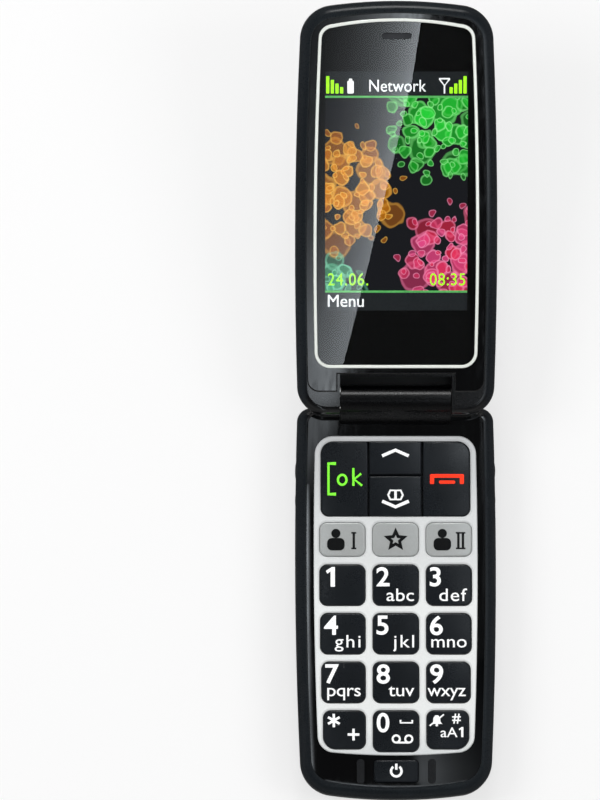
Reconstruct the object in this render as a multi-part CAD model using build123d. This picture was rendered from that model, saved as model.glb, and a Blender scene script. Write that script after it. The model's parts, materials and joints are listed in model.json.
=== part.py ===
"""Flip phone with a hinged display lid, modelled open: one STEP file per sub-part, in millimetres.

Frame: the base lies on its back on the plane z = 0. +X runs across the phone, +Y from the
keypad end towards the hinge and on along the open lid, +Z out of the keypad. The origin is the
middle of the back. Distances along the phone are given as s, measured from the hinge axis
towards a half's free end, so that both halves share one set of numbers. The lid is drawn shut
over the base and then swung open about the hinge axis.
"""

from build123d import *
from math import acos, atan2, cos, sin, sqrt
import os

# ---------------------------------------------------------------- driving dimensions
half_width = 24.15          # half the width of both halves at their widest
widest_s = 36.0             # where the sides are widest
side_radius = 1080.0        # bow of the long sides
free_end_s = 95.4           # hinge axis to the free end of either half
free_corner = 8.2           # plan radius of the free-end corners
free_bow = 2.2              # how far the middle of a free end stands out

base_height = 11.0          # back to the top of the base's rim
lid_thickness = 7.2
closed_gap = 0.3            # between the rims when the phone is shut
open_angle = 165.0          # between the halves when open

rim_width = 2.75            # rim around both inner faces
rim_bevel = 0.25            # slope along a rim's inner edge
rim_round = 2.4             # rounding of a rim's outer edge
back_round = 3.0            # rounding of the base's back edge
panel_round = 3.1           # rounding of the lid's outer edge
wall = 1.6                  # side walls of the casings
fit = 0.05                  # gap between parts that are assembled and stay put
slip = 0.15                 # gap around parts that move
past = 1.0                  # how far a cut runs past what it cuts
beyond = 150.0              # more than the whole phone, for cuts that take all on one side

# ---------------------------------------------------------------- levels of the base
parting_z = 6.6             # between rear housing and front frame
cover_floor = 1.1           # wall of the battery cover
cover_top_z = 2.6           # top of the battery cover's side walls
bay_floor = 0.7             # floor of the battery bay
bay_floor_z = 5.7           # underside of that floor
pcb_z = 7.4
pcb_thickness = 0.8
dome_height = 0.3
keymat_thickness = 0.25
ledge_z = 8.4               # underside of the ledge that carries the face plate
plate_z = 9.05              # top of that ledge
plate_top_z = 10.55
pocket_z = 9.55             # floor of the pocket that holds the keypad bezel
bezel_top_z = 10.8
ledge_width = 0.8
plate_lip = 0.3             # how far the face plate reaches under the bezel
plate_hinge_s = 2.9         # hinge end of the face plate
plate_corner_hinge = 2.4

# ---------------------------------------------------------------- keys
key_travel = 0.3
key_pitch_x = 12.8
key_width = 11.0
key_height = 9.85
key_corner = 1.8
last_row_corner = 3.0       # outer lower corners of the last row
last_row_short = 0.65        # how much shorter its outer keys are
pad_corner = 0.9            # corners of the power key
first_row_s = 44.3
row_pitch = 11.66
memory_row_s = 33.3
memory_height = 8.1
memory_top_z = 11.15
key_top_z = 11.08
key_crown = 75.0            # radius of the domed key tops
key_edge = 0.35
key_gap = 0.12              # around a key in its opening
key_flange = 0.4           # how far a key's foot reaches under the bezel
flange_thickness = 0.4
plunger_radius = 1.2
plunger_gap = 0.02          # left over a dome when its key is fully down
dome_radius = 2.2
bezel_s = (8.3, 85.05)
bezel_inset = 4.5           # bezel edge in from the case side
bezel_border = 1.4
bezel_corner_hinge = 4.4
bezel_corner_free = 4.0
bezel_bow = 1.06
bezel_bevel = 0.2          # around its outside
bezel_slope = (0.4, 0.25)   # reach and depth of the slopes down to the keys
nav_s = (9.65, 27.7)
nav_split_x = 6.45
nav_split_s = 17.8
nav_seam = 0.35             # gap between neighbouring navigation keys
nav_corner = 1.9
power_s = 88.82
power_size = (10.6, 5.3)
pad_x = 8.5
pad_size = (1.8, 5.75)
pad_round = 0.8
pad_top_z = 11.15

# ---------------------------------------------------------------- hinge
knuckle_radius = lid_thickness / 2
barrel_radius = 3.4
barrel_half = 13.2          # half the length of the barrel
barrel_gap = 0.2            # between barrel and lid, all round and at its ends
shoulder_s = 1.3            # the base's shoulders stop short of the axis
shoulder_corner = 3.4
skirt_s = 5.4               # foot of the barrel's front skirt
seam_s = 2.0                # edge of the lid's outer window beside the barrel
pocket_s = 6.0              # lid pocket that clears the skirt
pocket_ceiling = 2.2        # top of that pocket above the hinge axis
swing_reach = 9.0           # how far past the axis the lid is cut away over the barrel
barrel_wall = 3.0           # thickness of the barrel's left end wall
pin_radius = 1.8
pin_bore = 1.3
cartridge_radius = 2.4
cartridge_x = (2.2, 13.0)
cam_shaft_radius = 1.4
cam_key = 2.6               # across the flats of the head keyed into the lid
cam_head_x = 17.0
cartridge_end = 3.0         # solid end of the cartridge behind its cam shaft
pin_end_x = 18.4
roll_room = 1.9             # radius of the hollow around the rolled cable

axis_y = free_end_s - 50.0
axis_z = base_height + closed_gap + knuckle_radius
lid_low_z = base_height + closed_gap
lid_high_z = lid_low_z + lid_thickness
hinge_axis = Axis((0, axis_y, axis_z), (1, 0, 0))
pcb_top_z = pcb_z + pcb_thickness
dome_top_z = pcb_top_z + dome_height
plunger_z = dome_top_z + key_travel + plunger_gap

# ---------------------------------------------------------------- lid levels, above its inner rim
lid_corner = 7.0            # plan radius of the lid's corners at the hinge
lid_plate_drop = 0.4        # inner fascia below the rim
lid_plate_back = 1.4        # back of the inner fascia
lid_ledge = 0.8             # thickness of the ledge behind the fascia
lid_split = 4.2             # between inner frame and outer shell
fascia_hinge_s = 2.6        # hinge end of the inner fascia
fascia_corner_hinge = 2.6
pocket_rim = 0.9            # frame left standing around the hinge pocket
skin = 1.0                  # thickness of the side panels and of the outer window
ring_s = (8.0, 91.45)
ring_inset = 4.4
ring_width = 0.75
ring_proud = 0.25
ring_corner_hinge = 3.8
ring_corner_free = 3.4
ring_bow = 2.0
window_drop = 0.3
window_thickness = 1.05
display_half = 16.95         # half the width of the lit area
display_s = (21.75, 78.8)
display_border = 1.7
display_thickness = 1.85
strip_half = (13.1, 13.6, 12.95)    # outer window: at the hinge, in the middle, at the free end
outer_display_half = 11.85
outer_display_s = (20.5, 59.3)
outer_display_border = 0.5
roof = 0.6                  # outer shell under the window and the side panels
lid_board_drop = 0.05       # gap between the inner display and the lid's board
lid_board_thickness = 0.6
lid_board_s = (11.0, 91.0)
lid_board_half = 18.6
lid_board_corner = 4.0
ear_slot = (7.1, 1.5)
ear_s = 87.25
earpiece_size = (12.0, 6.6)
earpiece_thickness = 1.85
earpiece_corner = 2.5
sound_port = (6.1, 1.0, 0.4)        # length, width and depth of the earpiece's opening
mesh_thickness = 0.5
mesh_drop = 0.3             # mesh below the window's face
magnet_size = (4.0, 3.0)
magnet_x = 13.0
magnet_s = 88.0

# ---------------------------------------------------------------- side keys
scoop_s = (12.3, 27.7)      # hollow in the case side around a rocker
scoop_depth = 0.8
scoop_margin = 0.8          # above and below the rocker
rocker_s = (13.9, 26.1)
rocker_z = (4.4, 8.2)
rocker_proud = 0.1
rocker_dip = 0.6
rocker_round = 0.4
rocker_stem = 1.5           # depth of the rocker behind the case side
rocker_lip = 0.5            # flange that keeps the rocker in the case
rocker_room_in = 0.4        # free space behind that flange

# ---------------------------------------------------------------- inside the base
cover_s = 18.0              # seam between battery cover and rear housing
tongue = (5.0, 1.8, 0.6)    # width, length and thickness of the cover's tongues
tongue_x = 11.0
tongue_z = 1.35
bay_half = 17.3             # half the width of the battery bay
bay_s = (42.0, 90.3)
bay_wall = 1.0
bay_wall_z = 1.3            # foot of the bay walls
battery_gap = 0.2
battery_z = (1.35, 5.6)
battery_corner = 1.2
chamber_s = (5.0, 17.0)     # hollow at the hinge end for speaker and motor
chamber_floor = 1.3
screw_s = (32.0, 86.6)
screw_radius = 0.8
screw_head_radius = 1.45
screw_head_height = 0.8
slot_width = 0.4            # cross slot of a screw head
slot_depth = 0.35
slot_rim = 0.65             # metal left around that slot
boss_radius = 1.4
screw_inset = 3.1           # screw axis in from the case side
lid_screw_inset = 4.05
lid_screw_s = (13.0, 85.5)
lid_screw_radius = 0.6
lid_screw_head_radius = 1.2
lid_boss_radius = 1.9
speaker_size = (15.0, 9.0, 3.2)
speaker_x = -9.0
speaker_corner = 2.0
speaker_edge = 1.5          # rim around the speaker's stepped back
speaker_step = 0.3
grille_slots = 7
grille_slot = (0.8, 6.0)
grille_pitch = 1.7
motor_radius = 1.9
motor_length = 9.0
motor_x = 12.5
motor_shaft_radius = 0.4
motor_gap = 0.3             # between can and weight
sim_size = (17.0, 15.0, 1.4)
sim_x = -6.0
sim_s = 31.0
sim_wall = 0.8
sim_border = 2.7            # frame around the slot's open side
card_thickness = 0.8
card_shift = 1.0            # how far a card stands out for the fingers
contact_size = (1.2, 1.6, 3.2)
contact_pitch = 3.0
can_x = ((-16, 2), (-12, 14))
can_s = ((22, 46), (52, 80))
usb_size = (5.4, 7.6, 2.7)  # depth, width and height
usb_s = 60.0
usb_shell = 0.3
usb_recess = 0.3            # socket mouth in from the case side
usb_tongue = (1.2, 4.4, 0.6)        # set back from the mouth, width and thickness
mic_size = (3.6, 2.8, 0.9)
mic_inset = 8.4             # in from the case side
mic_back = 3.2              # in from the end wall
switch_size = (1.4, 3.0, 0.9)
switch_offset = 3.4         # each side of the rocker's middle
flex_radius = 0.9
flex_ribbon = (-7.5, -3.5)  # x limits of the ribbon that leaves the roll
flex_thickness = 0.2
flex_drop_s = 2.6           # where the ribbon runs down the skirt


# ---------------------------------------------------------------- helpers
def half_at(s):
    """Half-width of the case at distance s from the hinge axis."""
    return half_width - (s - widest_s) ** 2 / (2 * side_radius)


def y_at(s):
    return axis_y - s


def outline(s_hinge, s_free, inset, r_hinge, r_free, bow_hinge=0.0, bow_free=0.0):
    """Plan outline that follows the case's bowed sides, with rounded corners."""
    s_mid = (s_hinge + s_free) / 2
    corner_h = (half_at(s_hinge) - inset, y_at(s_hinge))
    middle = (half_at(s_mid) - inset, y_at(s_mid))
    corner_f = (half_at(s_free) - inset, y_at(s_free))

    def end(corner, bow):
        x, y = corner
        if bow:
            return ThreePointArc((-x, y), (0, y + bow), (x, y))
        return Line((-x, y), (x, y))

    edges = [
        end(corner_h, bow_hinge),
        ThreePointArc(corner_h, middle, corner_f),
        end(corner_f, -bow_free),
        ThreePointArc(*[(-x, y) for x, y in (corner_h, middle, corner_f)]),
    ]
    face = make_face(edges).face()
    corners = face.vertices().sort_by(Axis.Y)
    face = face.fillet_2d(r_free, corners[:2])
    return face.fillet_2d(r_hinge, face.vertices().sort_by(Axis.Y)[-2:]) if r_hinge else face


def prism(face, low, high):
    return extrude(Pos(0, 0, low) * face, high - low, dir=(0, 0, 1))


def block(x, y, z):
    """Box between three pairs of limits."""
    size = [high - low for low, high in (x, y, z)]
    return Pos(*[(low + high) / 2 for low, high in (x, y, z)]) * Box(*size)


def along_s(s):
    """The pair of y limits for a pair of s limits."""
    return (y_at(s[1]), y_at(s[0]))


def rounded(x, y, width, height, radius):
    return Pos(x, y) * RectangleRounded(width, height, radius)


def rod_z(radius, x, y, low, high):
    return Pos(x, y, (low + high) / 2) * Cylinder(radius, high - low)


def rod_x(radius, low, high, y=axis_y, z=axis_z):
    return Pos((low + high) / 2, y, z) * Rot(0, 90, 0) * Cylinder(radius, high - low)


def base_plan(inset):
    return outline(
        shoulder_s + inset, free_end_s - free_bow - inset, inset,
        max(shoulder_corner - inset, 0.8), free_corner - inset, bow_free=free_bow,
    )


def lid_plan(inset, s_hinge=None):
    return outline(
        inset - knuckle_radius if s_hinge is None else s_hinge,
        free_end_s - free_bow - inset, inset,
        max(lid_corner - inset, 0.8), free_corner - inset, bow_free=free_bow,
    )


def plate_plan(grow=0.0):
    """Outline of the face plate; the skirt of the barrel stands in its notch."""
    face = outline(
        plate_hinge_s - grow, free_end_s - free_bow - rim_width + grow, rim_width - grow,
        plate_corner_hinge + grow, free_corner - rim_width + grow, bow_free=free_bow,
    )
    notch = Rectangle(2 * (barrel_half + fit - grow), 2 * (skirt_s + fit - grow))
    return face - Pos(0, axis_y) * notch


def bezel_plan(inset=0.0):
    return outline(
        bezel_s[0] + inset, bezel_s[1] - bezel_bow - inset, bezel_inset + inset,
        bezel_corner_hinge - inset, bezel_corner_free - inset, bow_free=bezel_bow,
    )


def ring_plan(inset=0.0):
    return outline(
        ring_s[0] + inset, ring_s[1] - ring_bow - inset, ring_inset + inset,
        ring_corner_hinge - inset, ring_corner_free - inset, bow_free=ring_bow,
    )


def fascia_plan(grow=0.0):
    """Outline of the lid's inner fascia, notched around the hinge pocket."""
    face = outline(
        fascia_hinge_s - grow, free_end_s - free_bow - rim_width + grow, rim_width - grow,
        fascia_corner_hinge + grow, free_corner - rim_width + grow, bow_free=free_bow,
    )
    reach = pocket_rim - grow
    notch = Rectangle(2 * (barrel_half + barrel_gap + reach), 2 * (pocket_s + reach))
    return face - Pos(0, axis_y) * notch


def profile_x(points, low, high):
    """Prism along X from a profile given as (y, z) points."""
    return extrude(Plane.YZ.offset(low) * make_face(Polyline(*points, close=True)), high - low)


def strip_plan(grow=0.0):
    """Plan of the outer window: slightly waisted at both ends of the lid."""
    ends = (-2 * knuckle_radius, free_end_s / 2, free_end_s + knuckle_radius)
    right = [(half + grow, y_at(s)) for half, s in zip(strip_half, ends)]
    left = [(-x, y) for x, y in right]
    return make_face([
        ThreePointArc(*right), Line(right[2], left[2]), ThreePointArc(*left[::-1]),
        Line(left[0], right[0]),
    ])


def slice_z(solid, low, high):
    return solid & block((-beyond, beyond), (-beyond, beyond), (low, high))


def rim_edges(solid, z, plan):
    """Edges at height z that lie inside a plan outline, such as a rim's inner edge."""
    inner = prism(plan, z - past, z + past).solid()
    return [edge for edge in edges_at(solid, z) if inner.is_inside(edge @ 0.5)]


def edges_at(solid, z):
    """Edges that lie wholly at height z."""
    return solid.edges().filter_by(
        lambda e: abs(e.bounding_box().min.Z - z) < 1e-4 and abs(e.bounding_box().max.Z - z) < 1e-4
    )


def base_envelope():
    body = prism(base_plan(0), 0, base_height)
    body = fillet(edges_at(body, base_height), rim_round)
    return fillet(edges_at(body, 0), back_round)


def lid_envelope(inset=0.0):
    low = lid_low_z
    high = lid_high_z - inset
    body = prism(lid_plan(inset), low, high)
    body = fillet(edges_at(body, high), panel_round - inset)
    return body if inset else fillet(edges_at(body, low), rim_round)


def hinge_room():
    """What the lid leaves free for the barrel, its skirt and the way it swings."""
    span = barrel_half + barrel_gap
    low = lid_low_z - past
    ceiling = axis_z + pocket_ceiling
    room = rod_x(barrel_radius + barrel_gap, -span, span)
    room += block((-span, span), along_s((-swing_reach, seam_s)), (low, lid_high_z + past))
    return room + block((-span, span), along_s((-swing_reach, pocket_s)), (low, ceiling))


def opened(lid_part):
    return lid_part.rotate(hinge_axis, -open_angle)


# ---------------------------------------------------------------- base: casings
def rocker_room(side):
    """Hollow in the case side and the opening behind it for one rocker."""
    s_low, s_high = scoop_s
    middle = (s_low + s_high) / 2
    x_out = half_at(middle)
    y_mid = y_at(middle)
    # The hollow is the end of a drum that dips scoop_depth into the side.
    length = s_high - s_low
    radius = (length ** 2 / 4 + scoop_depth ** 2) / (2 * scoop_depth)
    drum = Pos(x_out - scoop_depth + radius, y_mid, (rocker_z[0] + rocker_z[1]) / 2)
    scoop = drum * Cylinder(radius, rocker_z[1] - rocker_z[0] + 2 * scoop_margin)
    z_low, z_high = rocker_z
    y_low, y_high = along_s(rocker_s)
    gap = slip
    mouth = block(
        (x_out - wall - past, x_out + past), (y_low - gap, y_high + gap), (z_low - gap, z_high + gap)
    )
    inner = block(
        (x_out - rocker_stem - rocker_lip - rocker_room_in, x_out - rocker_stem + 2 * slip),
        (y_low - rocker_lip - gap, y_high + rocker_lip + gap),
        (z_low - rocker_lip - gap, z_high + rocker_lip + gap),
    )
    room = scoop + mouth + inner
    return room if side > 0 else mirror(room, Plane.YZ)


def rear_housing(envelope):
    """Lower casing: side walls, the floor over the battery bay and the hinge-end chamber."""
    body = slice_z(envelope, 0, parting_z)
    # The battery cover takes the place of the lower part behind its seam.
    low_part = block((-beyond, beyond), along_s((cover_s, beyond)), (-past, cover_top_z + fit))
    body -= low_part
    under = prism(base_plan(wall), cover_top_z - past, bay_floor_z)
    under &= block((-beyond, beyond), along_s((cover_s + wall, beyond)), (0, bay_floor_z))
    body -= under
    body -= prism(base_plan(wall), bay_floor_z + bay_floor, parting_z + past)
    chamber = prism(base_plan(wall), chamber_floor, parting_z + past)
    body -= chamber & block((-beyond, beyond), along_s(chamber_s), (0, parting_z + past))
    bay = block(
        (-bay_half - bay_wall, bay_half + bay_wall),
        along_s((bay_s[0] - bay_wall, bay_s[1] + bay_wall)),
        (bay_wall_z, bay_floor_z + bay_floor / 2),
    )
    bay -= block((-bay_half, bay_half), along_s(bay_s), (0, bay_floor_z))
    body += bay
    for x, y in screw_spots():
        body -= rod_z(screw_radius + fit, x, y, 0, parting_z + past)
    for side in (-1, 1):
        body -= rocker_room(side)
        body -= Pos(side * tongue_x, y_at(cover_s), tongue_z) * Box(
            tongue[0] + 2 * slip, 2 * (tongue[1] + 2 * slip), tongue[2] + 2 * slip
        )
    first = -(grille_slots - 1) / 2 * grille_pitch
    for i in range(grille_slots):
        x = speaker_x + first + i * grille_pitch
        slot = SlotOverall(grille_slot[1], grille_slot[0], rotation=90)
        mouth = Pos(x, y_at(sum(chamber_s) / 2)) * slot
        body -= prism(mouth, -past, chamber_floor + past)
    return body - usb_room()


def usb_room():
    depth, width, height = usb_size
    x_out = half_at(usb_s)
    top = pcb_z - fit
    room = block(
        (x_out - depth - past, x_out + past),
        (y_at(usb_s) - width / 2 - fit, y_at(usb_s) + width / 2 + fit),
        (top - height - fit, top + fit),
    )
    return room


def skirt_points():
    """Profile of the web that carries the barrel: tangent to it in front, upright behind."""
    foot_y = -skirt_s
    foot_z = base_height - axis_z
    reach = sqrt(foot_y ** 2 + foot_z ** 2)
    touch = atan2(foot_z, foot_y) - acos(barrel_radius / reach)
    return [
        (axis_y - skirt_s, ledge_z),
        (axis_y - skirt_s, base_height),
        (axis_y + barrel_radius * cos(touch), axis_z + barrel_radius * sin(touch)),
        (axis_y, axis_z),
        (axis_y - shoulder_s, axis_z),
        (axis_y - shoulder_s, ledge_z),
    ]


def front_frame(envelope):
    """Upper frame: the raised rim, the ledge for the face plate and the hinge barrel."""
    body = slice_z(envelope, parting_z, base_height)
    body -= prism(base_plan(wall), parting_z - past, ledge_z)
    inside = outline(
        skirt_s + ledge_width, free_end_s - free_bow - rim_width - ledge_width,
        rim_width + ledge_width, plate_corner_hinge, free_corner - rim_width - ledge_width,
        bow_free=free_bow,
    )
    body -= prism(inside, ledge_z - past, plate_z + past)
    body -= prism(plate_plan(fit), plate_z, base_height + past)
    body = chamfer(rim_edges(body, base_height, base_plan((rim_round + rim_width) / 2)), rim_bevel)
    body += profile_x(skirt_points(), -barrel_half, barrel_half)
    body += rod_x(barrel_radius, -barrel_half, barrel_half)
    inner_end = barrel_wall - barrel_half
    body -= rod_x(cartridge_radius + fit, cartridge_x[0], barrel_half + past)
    body -= rod_x(roll_room, inner_end, cartridge_x[0] + past)
    body -= rod_x(pin_radius + fit, -barrel_half - past, inner_end + past)
    body -= ribbon(slip)
    for x, y in screw_spots():
        body += rod_z(boss_radius, x, y, bay_floor_z + bay_floor + fit, ledge_z + fit)
        body -= rod_z(screw_radius, x, y, 0, ledge_z - fit)
    for side in (-1, 1):
        body -= rocker_room(side)
    return body - usb_room()


def ribbon(grow):
    """Flat part of the hinge cable: out of the roll, down the skirt and on to the board."""
    x = (flex_ribbon[0] - grow, flex_ribbon[1] + grow)
    y = y_at(flex_drop_s)
    half = flex_thickness / 2 + grow
    top = axis_z + grow
    body = block(x, (y - half, y + half), (pcb_top_z, top))
    body += block(x, (y - half, axis_y), (axis_z - flex_thickness - grow, top))
    return body + block(
        x, (y_at(skirt_s + ledge_width) - grow, y + half), (pcb_top_z, pcb_top_z + flex_thickness + grow)
    )


def battery_cover(envelope):
    """Tray that closes the back, with two tongues that hook into the rear housing."""
    body = slice_z(envelope, 0, cover_top_z)
    body &= block((-beyond, beyond), along_s((cover_s + fit, beyond)), (-past, cover_top_z))
    hollow = prism(base_plan(wall), cover_floor, cover_top_z + past)
    body -= hollow & block((-beyond, beyond), along_s((cover_s + wall, beyond)), (0, beyond))
    width, length, thick = tongue
    for side in (-1, 1):
        y = y_at(cover_s + wall)
        body += block(
            (side * tongue_x - width / 2, side * tongue_x + width / 2),
            (y, y_at(cover_s) + length), (tongue_z - thick / 2, tongue_z + thick / 2),
        )
    return body


# ---------------------------------------------------------------- base: face and keys
def key_openings():
    """Plan of every opening in the keypad bezel."""
    faces = [nav_plan(key_gap)]
    faces += [key_plan(column, row, key_gap) for row in range(4) for column in (-1, 0, 1)]
    faces += [memory_plan(column, key_gap) for column in (-1, 0, 1)]
    return faces


def face_plate():
    body = prism(plate_plan(), plate_z, plate_top_z)
    body -= prism(bezel_plan(-fit), pocket_z, plate_top_z + past)
    body -= prism(bezel_plan(plate_lip), plate_z - past, pocket_z + past)
    body -= prism(power_plan(key_gap), pocket_z - fit, plate_top_z + past)
    body -= prism(power_plan(key_flange + key_gap), plate_z - past, pocket_z)
    for x in (-pad_x, pad_x):
        body -= prism(pad_plan(x, fit), pocket_z, plate_top_z + past)
    return body


def keypad_bezel():
    body = prism(bezel_plan(), pocket_z, bezel_top_z)
    for face in key_openings():
        body -= prism(face, pocket_z - past, bezel_top_z + past)
    middle = bezel_plan(bezel_border / 2)
    inner = rim_edges(body, bezel_top_z, middle)
    body = chamfer([edge for edge in edges_at(body, bezel_top_z) if edge not in inner], bezel_bevel)
    top = body.faces().sort_by(Axis.Z)[-1]
    return chamfer(rim_edges(body, bezel_top_z, middle), *bezel_slope, reference=top)


def cornered(x_low, x_high, s_low, s_high, radii):
    """Rectangle with its own radius at each corner: hinge left, hinge right, free right, free left."""
    points = [
        (x_low, y_at(s_low)), (x_high, y_at(s_low)), (x_high, y_at(s_high)), (x_low, y_at(s_high)),
    ]
    face = make_face(Polyline(*points, close=True)).face()
    for point, radius in zip(points, radii):
        corner = face.vertices().sort_by_distance((*point, 0))[0]
        face = face.fillet_2d(radius, [corner])
    return face


def key_edge_x(s):
    """Outer edge of the side columns, one border inside the bezel."""
    return half_at(s) - bezel_inset - bezel_border


def key_plan(column, row, grow=0.0):
    s = first_row_s + row * row_pitch
    s_low = s - key_height / 2 - grow
    s_high = s + key_height / 2 + grow
    inner = key_pitch_x - key_width / 2
    if column == 0:
        x_low = -key_width / 2 - grow
        return cornered(x_low, -x_low, s_low, s_high, [key_corner + grow] * 4)
    last = key_corner
    if row == 3:
        last = last_row_corner
        s_high -= last_row_short
    face = cornered(
        inner - grow, key_edge_x(s) + grow, s_low, s_high,
        [key_corner + grow, key_corner + grow, last + grow, key_corner + grow],
    )
    return face if column > 0 else mirror(face, Plane.YZ)


def memory_plan(column, grow=0.0):
    s_low = memory_row_s - memory_height / 2 - grow
    s_high = memory_row_s + memory_height / 2 + grow
    corner = [key_corner + grow] * 4
    if column == 0:
        return cornered(-key_width / 2 - grow, key_width / 2 + grow, s_low, s_high, corner)
    inner = key_pitch_x - key_width / 2
    face = cornered(inner - grow, key_edge_x(memory_row_s) + grow, s_low, s_high, corner)
    return face if column > 0 else mirror(face, Plane.YZ)


def nav_plan(grow=0.0):
    half = key_edge_x(nav_s[0]) + grow
    top = bezel_corner_hinge - bezel_border + grow
    low = nav_corner + grow
    return cornered(-half, half, nav_s[0] - grow, nav_s[1] + grow, [top, top, low, low])


def power_plan(grow=0.0):
    width, height = power_size
    return rounded(0, y_at(power_s), width + 2 * grow, height + 2 * grow, pad_corner + grow)


def pad_plan(x, grow=0.0):
    width, height = pad_size
    return rounded(x, y_at(power_s), width + 2 * grow, height + 2 * grow, pad_round + grow)


def key(face, foot, spots, top):
    """Cap with a shallow crown, a foot that stays under the bezel and plungers over the domes."""
    foot_z = pocket_z - fit - flange_thickness
    centre = face.center()
    cap = prism(face, foot_z, top)
    cap &= Pos(centre.X, centre.Y, top - key_crown) * Sphere(key_crown)
    rim = cap.faces().sort_by(Axis.Z)[-1].edges()
    cap = fillet(rim, key_edge)
    cap += prism(foot, foot_z, foot_z + flange_thickness)
    for x, y in spots:
        cap += rod_z(plunger_radius, x, y, plunger_z, foot_z + flange_thickness / 2)
    return cap


def digit_key(column, row):
    face = key_plan(column, row)
    centre = face.center()
    return key(face, key_plan(column, row, key_flange), [(centre.X, centre.Y)], key_top_z)


def memory_key(column):
    face = memory_plan(column)
    centre = face.center()
    return key(face, memory_plan(column, key_flange), [(centre.X, centre.Y)], memory_top_z)


def nav_cells():
    """Limits of the four navigation keys, as x and s pairs."""
    half = nav_seam / 2
    side = nav_split_x + half
    middle = nav_split_x - half
    return {
        "ok_key": ((-beyond, -side), (0, beyond)),
        "end_key": ((side, beyond), (0, beyond)),
        "up_key": ((-middle, middle), (0, nav_split_s - half)),
        "down_key": ((-middle, middle), (nav_split_s + half, beyond)),
    }


def clipped(face, cell):
    x, s = cell
    y = along_s(s)
    window = Pos((x[0] + x[1]) / 2, (y[0] + y[1]) / 2) * Rectangle(x[1] - x[0], y[1] - y[0])
    return (face & window).face()


def nav_key(cell):
    face = clipped(nav_plan(), cell)
    centre = face.center()
    return key(face, clipped(nav_plan(key_flange), cell), [(centre.X, centre.Y)], key_top_z)


def power_key():
    """Its foot ends with its cap towards the free end, where the ledge of the frame is near."""
    cap_end = power_s + power_size[1] / 2
    foot = clipped(power_plan(key_flange), ((-beyond, beyond), (0, cap_end)))
    return key(power_plan().face(), foot, [(0, y_at(power_s))], key_top_z)


def key_spots():
    """Centre of every key, for the domes and the holes in the mat."""
    faces = [key_plan(column, row) for row in range(4) for column in (-1, 0, 1)]
    faces += [memory_plan(column) for column in (-1, 0, 1)]
    faces += [clipped(nav_plan(), cell) for cell in nav_cells().values()]
    spots = [(face.center().X, face.center().Y) for face in faces]
    return spots + [(0, y_at(power_s))]


def bumper_pads():
    return group([prism(pad_plan(x), pocket_z, pad_top_z) for x in (-pad_x, pad_x)])


# ---------------------------------------------------------------- base: inside
def mat_plan(inset):
    return outline(
        skirt_s + ledge_width + inset, free_end_s - free_bow - rim_width - ledge_width - inset,
        rim_width + ledge_width + inset, plate_corner_hinge,
        free_corner - rim_width - ledge_width - inset, bow_free=free_bow,
    )


def keypad_mat():
    body = prism(mat_plan(slip), dome_top_z, dome_top_z + keymat_thickness)
    for x, y in key_spots():
        body -= rod_z(plunger_radius + slip, x, y, dome_top_z - past, dome_top_z + past)
    return body


def dome_sheet():
    """Film with one snap dome under every key."""
    film = dome_height / 3
    body = prism(mat_plan(slip), pcb_top_z, pcb_top_z + film)
    for x, y in screw_spots():
        body -= rod_z(boss_radius + slip, x, y, pcb_top_z - past, pcb_top_z + past)
    radius = (dome_radius ** 2 + dome_height ** 2) / (2 * dome_height)
    for x, y in key_spots():
        cap = Pos(x, y, dome_top_z - radius) * Sphere(radius)
        body += cap & rod_z(dome_radius, x, y, pcb_top_z, dome_top_z)
    return body


def main_board():
    body = prism(base_plan(wall + slip), pcb_z, pcb_top_z)
    for x, y in screw_spots():
        body -= rod_z(boss_radius + slip, x, y, pcb_z - past, pcb_top_z + past)
    for side in (-1, 1):
        body -= rocker_room(side)
    return body


def shield_cans():
    low = bay_floor_z + bay_floor + fit
    return group([block(x, along_s(s), (low, pcb_z)) for x, s in zip(can_x, can_s)])


def group(parts):
    solids = [solid for part in parts for solid in part.solids()]
    return Compound(children=solids)


def battery():
    low, high = battery_z
    body = block(
        (-bay_half + battery_gap, bay_half - battery_gap),
        along_s((bay_s[0] + contact_size[1], bay_s[1] - battery_gap)), (low, high),
    )
    return fillet(body.edges().filter_by(Axis.Z), battery_corner)


def battery_contacts():
    width, depth, height = contact_size
    y = y_at(bay_s[0] + depth / 2)
    low = battery_z[1] - height
    parts = [
        Pos(i * contact_pitch, y, low + height / 2) * Box(width, depth - fit, height)
        for i in (-1, 0, 1)
    ]
    return group(parts)


def sim_holder():
    """Flat slot on the underside of the housing floor; the card goes in from the bay."""
    width, length, height = sim_size
    y = y_at(sim_s)
    top = bay_floor_z - fit
    body = Pos(sim_x, y, top - height / 2) * Box(width, length, height)
    card = Pos(sim_x, y - card_shift, top - height / 2) * Box(
        width - 2 * sim_wall, length, card_thickness
    )
    window = Pos(sim_x, y, top - height) * Box(width - 2 * sim_border, length - 2 * sim_border, height)
    return body - card - window


def loudspeaker():
    width, length, height = speaker_size
    y = y_at(sum(chamber_s) / 2)
    low = chamber_floor + fit
    body = Pos(speaker_x, y, low + height / 2) * Box(width, length, height)
    body = fillet(body.edges().filter_by(Axis.Z), speaker_corner)
    back = Pos(speaker_x, y, low + height) * Box(
        width - 2 * speaker_edge, length - 2 * speaker_edge, 2 * speaker_step
    )
    return body - fillet(back.edges().filter_by(Axis.Z), speaker_corner / 2)


def vibration_motor():
    """Motor can with an eccentric weight on its shaft."""
    y = y_at(sum(chamber_s) / 2)
    z = chamber_floor + fit + motor_radius
    can = rod_x(motor_radius, motor_x - motor_length / 2, motor_x + motor_length / 4, y, z)
    shaft = rod_x(motor_shaft_radius, motor_x, motor_x + motor_length / 2, y, z)
    low = motor_x + motor_length / 4 + motor_gap
    weight = rod_x(motor_radius - slip, low, motor_x + motor_length / 2, y, z)
    weight = slice_z(weight, z - motor_shaft_radius, z + motor_radius)
    return can + shaft + weight


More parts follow.
